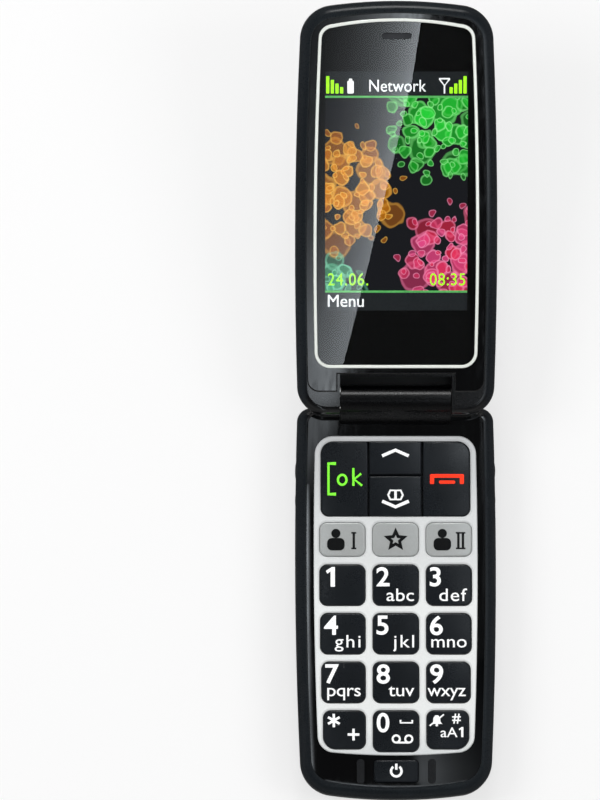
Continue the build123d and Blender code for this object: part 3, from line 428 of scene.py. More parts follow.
panelMetal = {
    "dark": (216, 216, 217), "light": (252, 252, 251), "rough": (0.34, 0.48),
    "metal": (0.3, 0.42), "grain": 0.14,
    # Painted reflection gradient: the bands darken the panel towards the hinge and, much more, towards the free
    # end.
    "shadeBands": [
        ((-36.0, -14.0), (0.8, 0.8, 0.8, 1)), ((-44.0, -84.0), (0.62, 0.61, 0.61, 1)),
        ((-76.0, -97.0), (0.62, 0.61, 0.61, 1)),
    ],
}
clearLens = {"dark": (246, 249, 250), "light": (255, 255, 255), "haze": 0.02}
smokedLens = {"dark": (96, 98, 100), "light": (112, 114, 116), "haze": 0.03}
rubber = {"dark": (19, 21, 24), "light": (26, 28, 31), "pores": 2600.0, "dust": 320.0}
boardLook = {
    "mask": (16, 74, 44), "track": (34, 112, 66), "pad": (226, 196, 120),
    "trackScale": 420.0, "trackWidth": 0.07, "padScale": 900.0, "padSize": 0.2,
}
meshLook = {"dark": (8, 9, 10), "light": (78, 80, 84), "pitch": 0.26}

lidTilt = innerPlace.to_euler().x
slotFinish = {
    "housing_plastic": housingFinish("darkHousing", darkHousing),
    "gloss_black": glossPlastic("pianoBlack", pianoBlack),
    "silver_plastic": metallicPaint("bezelPaint", bezelPaint),
    "clear_lens": lensPlastic("clearLens", clearLens),
    "smoked_lens": lensPlastic("smokedLens", smokedLens),
    "bright_ring": metallicPaint("ringMetal", ringMetal),
    "brushed_panel": brushedMetal("brushedPanel", panelMetal, -lidTilt, outerPlace),
    "display_glass": glossPlastic("displayBack", displayBack),
    "soft_rubber": softRubber("softRubber", rubber),
    "circuit_board": circuitBoard("circuitBoard", boardLook),
    "fine_mesh": wovenMesh("fineMesh", meshLook, innerPlace),
}
# Each moulded plastic's darkest and lightest tone, roughness, strength of the grain and grains a metre.
mouldedLooks = {
    "shell_plastic": ("blackShell", (14, 15, 16), (20, 21, 22), (0.4, 0.55), 0.2, 3000.0),
    "side_key_plastic": ("sideKeyPlastic", (20, 23, 27), (27, 30, 35), (0.26, 0.36), 0.1, 3600.0),
    "black_keys": ("keyPlastic", (17, 21, 25), (23, 27, 32), (0.24, 0.34), 0.08, 4200.0),
    "component_plastic": ("componentPlastic", (20, 20, 22), (34, 34, 36), (0.45, 0.6), 0.25, 2600.0),
    "battery_case": ("batteryCase", (58, 62, 66), (72, 76, 80), (0.35, 0.5), 0.15, 1800.0),
    "dome_film": ("domeFilm", (196, 198, 190), (226, 227, 220), (0.25, 0.4), 0.05, 1500.0),
    "flex_film": ("flexFilm", (150, 84, 20), (196, 120, 38), (0.25, 0.4), 0.1, 1900.0),
}
for slotName, (name, *look) in mouldedLooks.items():
    slotFinish[slotName] = mouldedPlastic(name, dict(zip(("dark", "light", "rough", "grain", "fine"), look)))
# Each bare metal's worn and bright tone, roughness, and marks of wear a metre.
metalLooks = {
    "hinge_steel": ("hingeSteel", (44, 44, 44), (84, 83, 82), (0.25, 0.4), 900.0),
    "plated_steel": ("platedSteel", (150, 152, 152), (205, 206, 204), (0.25, 0.45), 500.0),
    "gold_contact": ("goldContact", (176, 134, 60), (228, 186, 98), (0.18, 0.32), 1400.0),
    "magnet_metal": ("magnetMetal", (90, 92, 94), (140, 142, 143), (0.3, 0.45), 1100.0),
}
for slotName, (name, *look) in metalLooks.items():
    slotFinish[slotName] = plainMetal(name, *look)
memoryFinish = metallicPaint("memoryPaint", memoryPaint)
memoryKeys = ["memory_key_left", "favourite_key", "memory_key_right"]
for name, node in nodes.items():
    slotName = node.data.materials[0].name.split(".")[0]
    node.data.materials[0] = memoryFinish if name in memoryKeys else slotFinish[slotName]

# Each ink's tone where it is thin and where it is full, its glow and its shine.
inkGlow = 0.18
coverGlow = 5.6  # the smoked window takes two thirds of the outer display's light
inkLooks = {
    "whiteInk": ((236, 238, 238), (248, 249, 249), inkGlow, 0.3),
    "limeInk": ((118, 240, 50), (134, 255, 62), inkGlow, 0.3),
    "redInk": ((240, 48, 20), (255, 58, 26), inkGlow, 0.3),
    "blackInk": ((14, 15, 16), (8, 9, 10), 0.0, 0.3),
    "maskInk": ((9, 10, 11), (5, 6, 7), 0.0, 0.2),
    "litWhite": ((240, 242, 242), (250, 251, 251), 1.0, 0.0),
    "litLime": ((150, 235, 30), (172, 250, 44), 1.0, 0.0),
    "litLine": ((72, 150, 78), (88, 170, 92), 1.0, 0.0),
    "litBar": ((28, 31, 33), (31, 34, 36), 1.0, 0.0),
    "coverWhite": ((238, 240, 240), (248, 249, 249), coverGlow, 0.0),
    "coverLime": ((104, 200, 66), (140, 226, 84), coverGlow, 0.0),
    "coverLine": ((62, 150, 92), (80, 170, 108), coverGlow, 0.0),
    "coverBar": ((28, 30, 30), (32, 34, 34), coverGlow, 0.0),
}
inks = {name: printedInk(name, *look) for name, look in inkLooks.items()}

# How finely curved work is divided, and how thick it is before it is flattened.
flatWork = {
    "roundSteps": 2, "arcSteps": 24, "cornerSteps": 5, "discSides": 40, "letterSteps": 5, "letterDepth": 0.1,
}


def only(*pieces):
    bpy.ops.object.select_all(action="DESELECT")
    for piece in pieces:
        piece.select_set(True)
    bpy.context.view_layer.objects.active = pieces[-1]


def meshed(piece):
    only(piece)
    bpy.ops.object.convert(target="MESH")
    return bpy.context.object


def joined(pieces, name):
    only(*pieces)
    if len(pieces) > 1:
        bpy.ops.object.join()
    piece = bpy.context.object
    piece.name = name
    piece.data.name = name
    return piece


def span(points):
    axes = list(zip(*points))
    return Vector([min(axis) for axis in axes]), Vector([max(axis) for axis in axes])


def extents(piece):
    return span([vertex.co for vertex in piece.data.vertices])


def shifted(piece, **wanted):
    # Moves a flat piece so that its named edge or middle lies there. Lettering stands on its base, y = 0.
    low, high = extents(piece)
    now = {
        "left": (0, low.x), "right": (0, high.x), "middle": (0, (low.x + high.x) / 2), "base": (1, 0),
        "low": (1, low.y), "high": (1, high.y), "centre": (1, (low.y + high.y) / 2),
    }
    move = Vector((0, 0, 0))
    for name, goal in wanted.items():
        axis, start = now[name]
        move[axis] = goal - start
    piece.data.transform(Matrix.Translation(move))
    return piece


def outline(curve, points, closed):
    line = curve.splines.new("POLY")
    line.points.add(len(points) - 1)
    for point, (x, y) in zip(line.points, points):
        point.co = (x, y, 0, 1)
    line.use_cyclic_u = closed


def drawn(curve):
    piece = bpy.data.objects.new(curve.name, curve)
    bpy.context.collection.objects.link(piece)
    return meshed(piece)


def stroke(points, width, closed=False):
    curve = bpy.data.curves.new("stroke", "CURVE")
    curve.dimensions = "3D"
    curve.bevel_depth = width / 2
    curve.bevel_resolution = flatWork["roundSteps"]
    curve.use_fill_caps = True
    outline(curve, points, closed)
    return drawn(curve)


def plate(outlines, thickness):
    # A flat plate inside the first outline, with the others cut out.
    curve = bpy.data.curves.new("plate", "CURVE")
    curve.dimensions = "2D"
    curve.fill_mode = "BOTH"
    curve.extrude = thickness / 2
    for points in outlines:
        outline(curve, points, True)
    return drawn(curve)


def arc(x, y, radius, start, end):
    # Points on part of a circle, angles in degrees.
    steps = flatWork["arcSteps"]
    turns = [math.radians(start + (end - start) * step / steps) for step in range(steps + 1)]
    return [(x + radius * math.cos(turn), y + radius * math.sin(turn)) for turn in turns]


def ringStroke(x, y, radius, width):
    return stroke(arc(x, y, radius, 0, 360)[:-1], width, True)


def lettering(text, size, weight=0.0, spacing=1.0, wide=1.0):
    bpy.ops.object.text_add()
    piece = bpy.context.object
    piece.data.body = text
    piece.data.size = size
    piece.data.offset = weight
    piece.data.extrude = flatWork["letterDepth"]
    piece.data.resolution_u = flatWork["letterSteps"]
    piece.data.space_character = spacing
    piece = meshed(piece)
    piece.data.transform(Matrix.Diagonal((wide, 1, 1, 1)))
    return piece


def slab(left, low, right, high, corner=0.0):
    # A flat bar between its edges, with rounded upright corners.
    bpy.ops.mesh.primitive_cube_add(size=1, location=((left + right) / 2, (low + high) / 2, 0))
    piece = bpy.context.object
    piece.scale = (right - left, high - low, 1)
    bpy.ops.object.transform_apply()
    if corner:
        for edge in piece.data.edges:
            start, end = [piece.data.vertices[index].co for index in edge.vertices]
            edge.select = abs(start.z - end.z) > 0.5  # the bar is still 1 high
        for face in piece.data.polygons:
            face.select = False
        bpy.ops.object.mode_set(mode="EDIT")
        bpy.ops.mesh.select_mode(type="EDGE")
        bpy.ops.mesh.bevel(offset=corner, segments=flatWork["cornerSteps"])
        bpy.ops.object.mode_set(mode="OBJECT")
    return piece


def disc(x, y, radius):
    sides = flatWork["discSides"]
    bpy.ops.mesh.primitive_cylinder_add(vertices=sides, radius=radius, depth=1, location=(x, y, 0))
    bpy.ops.object.transform_apply()
    return bpy.context.object


def flattened(piece, half):
    tallest = max(abs(vertex.co.z) for vertex in piece.data.vertices)
    piece.data.transform(Matrix.Diagonal((1, 1, half / tallest, 1)))
    return piece


def laid(piece, place, level, finish, body):
    # Puts finished flat work at its level over a face and hands it to the body that carries it.
    piece.data.transform(place @ Matrix.Translation((0, 0, level)))
    piece.data.materials.clear()
    piece.data.materials.append(finish)
    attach(piece, body)


def onSheet(name, place):
    back = place.inverted()
    return [back @ vertex.co for vertex in nodes[name].data.vertices]


def sheetEdge(name, place):
    flat = [point.to_2d() for point in onSheet(name, place)]
    return [tuple(flat[index]) for index in convex_hull_2d(flat)]


print("key legends")
keyShape = {"flange": 0.4, "crown": 75.0, "score": 1.4}
ink = {"half": 0.05, "digit": 6.4, "digitWeight": 0.11, "digitWide": 1.06, "letter": 4.3, "letterWeight": 0.01}


def keyFace(name):
    low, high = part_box(name)
    flange = keyShape["flange"]
    return {
        "left": low.x / mm + flange, "right": high.x / mm - flange,
        "near": low.y / mm + flange, "far": high.y / mm - flange, "top": high.z / mm,
    }


def scored(piece, pitch):
    # Cuts flat work into squares, so that it can follow a domed face.
    low, high = extents(piece)
    only(piece)
    bpy.ops.object.mode_set(mode="EDIT")
    for axis, normal in enumerate(((1, 0, 0), (0, 1, 0))):
        step = low[axis] + pitch
        while step < high[axis]:
            bpy.ops.mesh.select_all(action="SELECT")
            bpy.ops.mesh.bisect(plane_co=[step * part for part in normal], plane_no=normal)
            step += pitch
    bpy.ops.object.mode_set(mode="OBJECT")


def onKey(pieces, key, finish):
    # Joins a key's print, bends it over the crown and lets it ride on the key.
    face = keyFace(key)
    crown = keyShape["crown"]
    middle = Vector(((face["left"] + face["right"]) / 2, (face["near"] + face["far"]) / 2))
    piece = joined([flattened(part, ink["half"]) for part in pieces], "legend_" + key)
    scored(piece, keyShape["score"])
    for vertex in piece.data.vertices:
        reach = (vertex.co.to_2d() - middle).length
        vertex.co.z += face["top"] - crown + math.sqrt(crown ** 2 - reach ** 2)
    laid(piece, basePlace, 0, finish, key)


oneShape = [(0, 0.8), (0.3, 1), (0.46, 1), (0.46, 0), (0.24, 0), (0.24, 0.78), (0.08, 0.66)]


def figureOne(height):
    # The built-in face has a plain bar for this figure, so it gets its flag here.
    return plate([[(x * height, y * height) for x, y in oneShape]], 1)


# Each word has its own spacing and width, as narrow letters stand further apart.
digitPrint = {
    "key_1": ("1", "", 1.0, 1.0), "key_2": ("2", "abc", 1.02, 1.15), "key_3": ("3", "def", 1.1, 1.15),
    "key_4": ("4", "ghi", 1.16, 1.15), "key_5": ("5", "jkl", 1.16, 1.15), "key_6": ("6", "mno", 1.02, 1.12),
    "key_7": ("7", "pqrs", 0.97, 1.13), "key_8": ("8", "tuv", 0.98, 1.15), "key_9": ("9", "wxyz", 0.97, 1.05),
}
digitPlace = {
    "left": 0.85, "oneLeft": 1.45, "top": 0.6, "oneTall": 4.75, "wordRight": 1.15, "wordUp": (1.1, 1.62, 1.62),
}
for index, (key, (digit, letters, spacing, wide)) in enumerate(digitPrint.items()):
    face = keyFace(key)
    if digit == "1":
        number, start = figureOne(digitPlace["oneTall"]), digitPlace["oneLeft"]
    else:
        number = lettering(digit, ink["digit"], ink["digitWeight"], wide=ink["digitWide"])
        start = digitPlace["left"]
    parts = [shifted(number, left=face["left"] + start, high=face["far"] - digitPlace["top"])]
    if letters:
        word = lettering(letters, ink["letter"], ink["letterWeight"], spacing, wide)
        base = face["near"] + digitPlace["wordUp"][index // 3]
        parts.append(shifted(word, right=face["right"] - digitPlace["wordRight"], base=base))
    onKey(parts, key, inks["whiteInk"])


def fromCorner(face, points):
    # On a key x counts from its left edge and y down from its far edge.
    return [(face["left"] + x, face["far"] - y) for x, y in points]


face = keyFace("key_star")
starPrint = {"star": (2.5, 2.4, 1.6, (90, 150, 210)), "plus": (7.2, 5.75, 1.4, (0, 90)), "width": 0.62}
parts = []
for x, y, reach, turns in (starPrint["star"], starPrint["plus"]):
    for turn in turns:
        half = arc(face["left"] + x, face["far"] - y, reach, turn, turn + 180)
        parts.append(stroke([half[-1], half[0]], starPrint["width"]))
onKey(parts, "key_star", inks["whiteInk"])

face = keyFace("key_0")
zeroPrint = {
    "top": 0.55, "space": ((6.55, 2.25), (6.55, 2.95), (9.35, 2.95), (9.35, 2.25)),
    "reels": ((5.5, 6.8), (8.5, 6.8)), "tape": ((5.5, 7.65), (8.5, 7.65)), "reel": 0.85, "width": 0.5,
}
number, width = lettering("0", ink["digit"], ink["digitWeight"]), zeroPrint["width"]
parts = [shifted(number, left=face["left"] + digitPlace["left"], high=face["far"] - zeroPrint["top"])]
parts.append(stroke(fromCorner(face, zeroPrint["space"]), width))
parts += [ringStroke(x, y, zeroPrint["reel"], width) for x, y in fromCorner(face, zeroPrint["reels"])]
parts.append(stroke(fromCorner(face, zeroPrint["tape"]), width))
onKey(parts, "key_0", inks["whiteInk"])

face = keyFace("key_hash")
hashPrint = {
    "bars": (
        ((6.48, 3.15), (6.88, 0.75)), ((6.05, 2.37), (8.15, 2.37)),
        ((7.32, 3.15), (7.72, 0.75)), ((6.05, 1.53), (8.15, 1.53)),
    ),
    "bell": (
        (1.05, 3.2), (1.5, 2.75), (1.6, 1.75), (2.05, 1.15), (2.75, 1.15), (3.2, 1.75), (3.3, 2.75), (3.75, 3.2),
    ),
    "barWidth": 0.36, "clapper": ((2.4, 3.5),), "clapperSize": 0.32, "slash": ((0.7, 3.65), (4.1, 0.95)),
    "slashWidth": 0.4, "wordRight": 1.35, "wordUp": 2.85, "word": 3.35, "wordWide": 1.12, "oneTall": 2.412,
    "oneGap": 0.3,
}
parts = [stroke(fromCorner(face, bar), hashPrint["barWidth"]) for bar in hashPrint["bars"]]
parts.append(plate([fromCorner(face, hashPrint["bell"])], 1))
parts.append(disc(*fromCorner(face, hashPrint["clapper"])[0], hashPrint["clapperSize"]))
parts.append(stroke(fromCorner(face, hashPrint["slash"]), hashPrint["slashWidth"]))
base = face["near"] + hashPrint["wordUp"]
one = shifted(figureOne(hashPrint["oneTall"]), right=face["right"] - hashPrint["wordRight"], low=base)
word = lettering("aA", hashPrint["word"], ink["letterWeight"], wide=hashPrint["wordWide"])
parts += [one, shifted(word, right=extents(one)[0].x - hashPrint["oneGap"], base=base)]
onKey(parts, "key_hash", inks["whiteInk"])


def fromHinge(points):
    # On the navigation keys y counts from the hinge towards the foot.
    return [(x, hinge.y / mm - y) for x, y in points]


okPrint = {
    "bracket": ((-14.3, 15.0), (-16.1, 15.0), (-16.1, 22.4), (-14.3, 22.4)), "bracketWidth": 0.8,
    "ring": (-12.8, -18.95, 1.2), "ringWide": 0.86, "ringWidth": 0.58,
    "stem": ((-10.12, 16.1), (-10.12, 20.4)), "arms": ((-8.27, 17.45), (-9.92, 18.8), (-8.02, 20.35)),
    "width": 0.6,
}
middle = okPrint["ring"][0]
ringLine = [(middle + (x - middle) * okPrint["ringWide"], -y) for x, y in arc(*okPrint["ring"], 0, 350)]
parts = [stroke(fromHinge(okPrint["bracket"]), okPrint["bracketWidth"])]
parts.append(stroke(fromHinge(ringLine), okPrint["ringWidth"], True))
parts += [stroke(fromHinge(okPrint[part]), okPrint["width"]) for part in ("stem", "arms")]
onKey(parts, "ok_key", inks["limeInk"])

# A handset lying down: the corners of its bars and how round they are.
endPrint = {
    "back": ((8.3, 18.45), (16.45, 17.55), 0.25), "leftEnd": ((8.3, 19.95), (9.3, 17.75), 0.2),
    "rightEnd": ((15.45, 19.95), (16.45, 17.75), 0.2), "dash": ((10.45, 19.9), (14.35, 19.1), 0.35),
}
parts = []
for low, high, corner in endPrint.values():
    low, high = fromHinge([low, high])
    parts.append(slab(*low, *high, corner))
onKey(parts, "end_key", inks["redInk"])

arrow = {"half": 3.2, "drop": 1.4, "width": 0.82, "upTip": 11.75, "downTip": 25.5}
book = {"leaf": ((0.14, 23.7), (1.25, 23.7), (1.75, 22.6), (1.25, 21.5), (0.14, 21.5)), "width": 0.5}


def arrowStroke(tip, drop):
    half = arrow["half"]
    return stroke(fromHinge([(-half, tip + drop), (0, tip), (half, tip + drop)]), arrow["width"])


onKey([arrowStroke(arrow["upTip"], arrow["drop"])], "up_key", inks["whiteInk"])
parts = [arrowStroke(arrow["downTip"], -arrow["drop"])]
for side in (-1, 1):
    leaf = fromHinge([(side * x, y) for x, y in book["leaf"]])
    parts.append(stroke(leaf, book["width"], True))
onKey(parts, "down_key", inks["whiteInk"])

personPrint = {"head": ((3.9, 2.65),), "headSize": 1.1, "body": ((1.8, 6.75), (6.0, 3.75)), "corner": 1.15}
numeral = {
    "ends": (2.5, 6.25), "width": 0.6, "serif": 0.6, "serifWidth": 0.4,
    "bars": {"memory_key_left": (8.2,), "memory_key_right": (7.75, 8.85)},
}
for key, bars in numeral["bars"].items():
    face, ends, serif = keyFace(key), numeral["ends"], numeral["serif"]
    low, high = fromCorner(face, personPrint["body"])
    parts = [disc(*fromCorner(face, personPrint["head"])[0], personPrint["headSize"])]
    parts.append(slab(*low, *high, personPrint["corner"]))
    for x in bars:
        parts.append(stroke(fromCorner(face, [(x, y) for y in ends]), numeral["width"]))
        for y in ends:
            parts.append(stroke(fromCorner(face, [(x - serif, y), (x + serif, y)]), numeral["serifWidth"]))
    onKey(parts, key, inks["blackInk"])

star = {"points": 5, "outer": 3.0, "inner": 1.4, "wall": 0.72, "drop": 0.15}
face = keyFace("favourite_key")
bpy.ops.mesh.primitive_circle_add(vertices=2 * star["points"], radius=1, fill_type="NGON")
piece = bpy.context.object
centre = Vector(((face["left"] + face["right"]) / 2, (face["near"] + face["far"]) / 2 - star["drop"], 0))
for index, vertex in enumerate(piece.data.vertices):
    angle = math.radians(90 + 180 / star["points"] * index)
    reach = star["inner"] if index % 2 else star["outer"]
    vertex.co = centre + Vector((reach * math.cos(angle), reach * math.sin(angle), 0))
bpy.ops.object.mode_set(mode="EDIT")
bpy.ops.mesh.select_all(action="SELECT")
bpy.ops.mesh.inset(thickness=star["wall"])
bpy.ops.mesh.delete(type="FACE")
bpy.ops.object.mode_set(mode="OBJECT")
wall = piece.modifiers.new("wall", "SOLIDIFY")
wall.thickness = 1
wall.offset = 0
bpy.ops.object.modifier_apply(modifier="wall")
onKey([piece], "favourite_key", inks["blackInk"])

powerPrint = {"radius": 1.25, "gap": (125, 415), "width": 0.6, "stem": (0.35, 1.8), "foot": 2.65}
middle = keyFace("power_key")["far"] - powerPrint["foot"]
ringLine = arc(0, middle, powerPrint["radius"], *powerPrint["gap"])
stem = [(0, middle + reach) for reach in powerPrint["stem"]]
parts = [stroke(ringLine, powerPrint["width"]), stroke(stem, powerPrint["width"])]
onKey(parts, "power_key", inks["whiteInk"])

print("inner display")
# Height over the glass and half thickness of each layer of a display's graphics.
layers = {"image": (0.004, 0.002), "lines": (0.012, 0.004), "icons": (0.012, 0.005)}
iconShape = {
    "barCorner": 0.12, "batteryCorner": 0.25, "tipCorner": 0.1, "overlap": 0.1,
    "mastHalf": 1.25, "mastDrop": 1.7, "stemDrop": 1.4, "width": 0.34,
}


def shown(parts, name, place, glass, layer, finish):
    rise, half = layers[layer]
    piece = joined([flattened(part, half) for part in parts], name)
    laid(piece, place, glass + rise, finish, "lid")


def litArea(name, place, border):
    # The edges of a display's lit part on its sheet, and the height of its glass.
    low, high = span(onSheet(name, place))
    return low.x + border, low.y + border, high.x - border, high.y - border, high.z


def barGauges(row):
    # Four bars that step down from the left edge, and four that step up to the right edge.
    parts = []
    for step, height in enumerate(row["heights"]):
        offset, top = step * row["pitch"], row["foot"] + height
        for start in (row["left"] + offset, row["right"] - offset - row["bar"]):
            parts.append(slab(start, row["foot"], start + row["bar"], top, iconShape["barCorner"]))
    return parts


def batteryAndMast(row):
    left, width, height = row["battery"]
    tipWidth, tipHeight = row["batteryTip"]
    foot, middle, x = row["foot"], left + width / 2, row["mast"]
    shoulder = foot + height
    top = shoulder + tipHeight
    half, line = iconShape["mastHalf"], iconShape["width"]
    tip = (middle - tipWidth / 2, shoulder - iconShape["overlap"], middle + tipWidth / 2, top)
    return [
        slab(left, foot, left + width, shoulder, iconShape["batteryCorner"]),
        slab(*tip, iconShape["tipCorner"]),
        stroke([(x, foot), (x, top - iconShape["stemDrop"])], line),
        stroke([(x - half, top), (x, top - iconShape["mastDrop"]), (x + half, top)], line),
        stroke([(x - half, top), (x + half, top)], line),
    ]


screen = {
    "border": 1.7, "statusLine": 72.8, "softLine": 26.3, "lineHalf": 0.25, "mask": 0.008, "maskRise": 0.006,
}
litLeft, litNear, litRight, litFar, glass = litArea("inner_display", innerPlace, screen["border"])
half = screen["lineHalf"]

picture = {
    "ground": (25, 26, 30), "glow": 1.0, "wobble": 1.6,
    "layers": [
        (9.5, 0.42, 0.3, 0.4, 0.34, 0.5), (7.4, 0.4, 0.4, 1.3, 0.5, 0.5), (6.1, 0.38, 0.4, 2.2, 0.6, 0.6),
        (4.7, 0.37, 0.5, 0.9, 0.62, 0.7), (3.1, 0.3, 0.6, 1.8, 0.6, 0.9),
    ],
    "clusters": [
        ((13.5, 34.0), 15.5, 6.0, (238, 38, 74), (250, 84, 150), (255, 150, 190)),
        ((-13.0, 50.5), 16.0, 6.0, (214, 120, 8), (250, 160, 16), (255, 200, 90)),
        ((10.5, 66.5), 15.5, 6.0, (8, 160, 24), (44, 226, 64), (150, 255, 150)),
        ((-14.5, 29.5), 6.5, 4.0, (20, 110, 70), (60, 190, 130), (150, 240, 200)),
    ],
}
imageFinish = bubblePicture("innerPicture", picture, innerPlace)
image = slab(litLeft, screen["softLine"] + half, litRight, screen["statusLine"] - half)
shown([image], "screen_image", innerPlace, glass, "image", imageFinish)
bars = [
    slab(litLeft, litNear, litRight, screen["softLine"] - half),
    slab(litLeft, screen["statusLine"] + half, litRight, litFar),
]
shown(bars, "screen_bars", innerPlace, glass, "image", inks["litBar"])
heights = (screen["softLine"], screen["statusLine"])
lines = [slab(litLeft, height - half, litRight, height + half) for height in heights]
shown(lines, "screen_lines", innerPlace, glass, "lines", inks["litLine"])

iconRow = {
    "foot": 73.6, "bar": 0.76, "pitch": 1.1, "heights": (4.1, 3.2, 2.35, 1.5), "left": -16.75, "right": 16.6,
    "battery": (-11.7, 1.5, 3.0), "batteryTip": (0.75, 0.5), "mast": 11.35,
}
# Text, size, weight, spacing, width and place.
screenWords = {
    "title": ("Network", 4.1, 0.0, 1.02, 0.88, {"middle": 0.25, "base": 74.05}),
    "softKey": ("Menu", 4.2, 0.0, 1.0, 0.96, {"left": -16.3, "base": 22.65}),
    "date": ("24.06.", 4.2, 0.0, 1.1, 0.88, {"left": -16.3, "base": 27.8}),
    "time": ("08:35", 4.2, 0.0, 1.08, 0.88, {"right": 16.5, "base": 27.8}),
}
words = {name: shifted(lettering(*look[:-1]), **look[-1]) for name, look in screenWords.items()}
whiteParts = batteryAndMast(iconRow) + [words["title"], words["softKey"]]
shown(whiteParts, "screen_icons", innerPlace, glass, "icons", inks["litWhite"])
limeParts = barGauges(iconRow) + [words["date"], words["time"]]
shown(limeParts, "screen_gauges", innerPlace, glass, "icons", inks["litLime"])

# Black print in the back of the clear window, open over the lit area and the sound slot.
corners = [(litLeft, litNear), (litRight, litNear), (litRight, litFar), (litLeft, litFar)]
outlines = [sheetEdge("inner_window", innerPlace), corners, sheetEdge("earpiece_mesh", innerPlace)]
mask = joined([plate(outlines, screen["mask"])], "window_mask")
windowBack = span(onSheet("inner_window", innerPlace))[0].z
laid(mask, innerPlace, windowBack + screen["maskRise"], inks["maskInk"], "lid")

print("outer display")
cover = {"border": 0.5, "line": -40.65, "lineHalf": 0.3, "lineInset": 0.2}
clockPrint = {"text": "08:35", "size": 10.4, "weight": 0.16, "wide": 0.81, "centre": -34.05}
outLeft, outNear, outRight, outFar, glass = litArea("outer_display", outerPlace, cover["border"])
low, high = cover["line"] - cover["lineHalf"], cover["line"] + cover["lineHalf"]
sprigs = {
    "ground": (30, 32, 30), "glow": coverGlow, "wobble": 1.2,
    "layers": [
        (6.6, 0.42, 0.3, 0.6, 0.34, 0.5), (4.6, 0.4, 0.4, 1.5, 0.5, 0.6), (2.9, 0.34, 0.5, 2.3, 0.6, 0.8),
    ],
    "clusters": [
        ((5.5, -53.5), 9.0, 4.0, (20, 96, 52), (64, 172, 96), (128, 214, 150)),
        ((-7.5, -46.0), 5.5, 3.0, (96, 36, 34), (134, 62, 54), (170, 96, 84)),
    ],
}
outFinish = bubblePicture("outerPicture", sprigs, outerPlace)
shown([slab(outLeft, outNear, outRight, low)], "cover_image", outerPlace, glass, "image", outFinish)
shown([slab(outLeft, high, outRight, outFar)], "cover_panel", outerPlace, glass, "image", inks["coverBar"])
line = slab(outLeft + cover["lineInset"], low, outRight - cover["lineInset"], high)
shown([line], "cover_line", outerPlace, glass, "lines", inks["coverLine"])
coverRow = {
    "foot": -25.4, "bar": 0.85, "pitch": 1.14, "heights": (4.2, 3.3, 2.4, 1.5), "left": -11.6, "right": 11.6,
    "battery": (-6.7, 2.0, 3.2), "batteryTip": (0.9, 0.5), "mast": 6.0,
}
clock = lettering(clockPrint["text"], clockPrint["size"], clockPrint["weight"], wide=clockPrint["wide"])
whiteParts = batteryAndMast(coverRow) + [shifted(clock, middle=0, centre=clockPrint["centre"])]
shown(whiteParts, "cover_icons", outerPlace, glass, "icons", inks["coverWhite"])
shown(barGauges(coverRow), "cover_gauges", outerPlace, glass, "icons", inks["coverLime"])

print("stage")
camera = {
    "elevation": 82.5, "distance": 1.067, "lens": 200.0, "sensor": 36.0, "nearest": 0.01,
    "target": (-0.02295, hinge.y - 0.0001, hinge.z),
}
tilt = math.radians(90 - camera["elevation"])
back = Vector((0, -math.sin(tilt), math.cos(tilt))) * camera["distance"]
eyePlace = Vector(camera["target"]) + back
bpy.ops.object.camera_add(location=eyePlace, rotation=(tilt, 0, 0))
eye = bpy.context.object
eye.data.lens = camera["lens"]
eye.data.sensor_width = camera["sensor"]
eye.data.clip_start = camera["nearest"]
bpy.context.scene.camera = eye
bpy.context.scene.view_settings.view_transform = "Standard"

floorLook = {"size": 8.0, "level": -0.0001, "colour": (0.9, 0.9, 0.9, 1), "white": 0.6, "mirrored": 0.12}
bpy.ops.mesh.primitive_plane_add(size=floorLook["size"], location=(0, 0, floorLook["level"]))
floor = bpy.context.object
floor.name = "floor"
paper = Finish("paper", Roughness=0.9, Base_Color=floorLook["colour"])
seen, mirrored, through = paper.rays()
glow = paper.node("Emission", {}, {"Strength": 1 - mirrored * (1 - floorLook["mirrored"])})
share = (seen.most(through) * floorLook["white"]).most(mirrored)
paper.surface(paper.node("MixShader", {}, {0: share, 1: Wire(paper, paper.shader.outputs[0]), 2: glow}))
floor.data.materials.append(paper.material)

# The room: white where it is seen, a dim ceiling in mirror-smooth faces, an even fill for the rest.
room = {"fill": 0.5, "ceiling": 0.035, "wall": 0.2, "wallTop": 0.2, "ceilingFoot": 0.75}
world = bpy.data.worlds.new("room")
bpy.context.scene.world = world
world.use_nodes = True
air = Wiring(world.node_tree)
height = air.axis(air.node("TexCoord", {}, {}, "Generated"), 2)
dim = air.between(height, room["wall"], room["ceiling"], room["wallTop"], room["ceilingFoot"], True)
seen, mirrored, through = air.rays()
mirrored = mirrored.most(through)
fill = mirrored * dim + (1 - mirrored) * room["fill"]
backdrop = air.tree.nodes["Background"].inputs
air.plug(seen + (1 - seen) * fill, backdrop["Strength"])
air.plug((1, 1, 1, 1), backdrop["Color"])

# Each lamp's place, size and power, and whether glossy faces mirror it.
lamps = [
    ((-0.45, 0.1, 0.5), 0.3, 1.55, False), ((0.48, 0.0, 0.5), 0.3, 1.2, False),
    ((0.0, 0.64, 0.6), 0.22, 1.4, True),
]
for place, size, power, mirrored in lamps:
    aim = (Vector((0, hinge.y, 0)) - Vector(place)).to_track_quat("-Z", "Y").to_euler()
    bpy.ops.object.light_add(type="AREA", location=place, rotation=aim)
    light = bpy.context.object
    light.data.size, light.data.energy, light.visible_glossy = size, power, mirrored

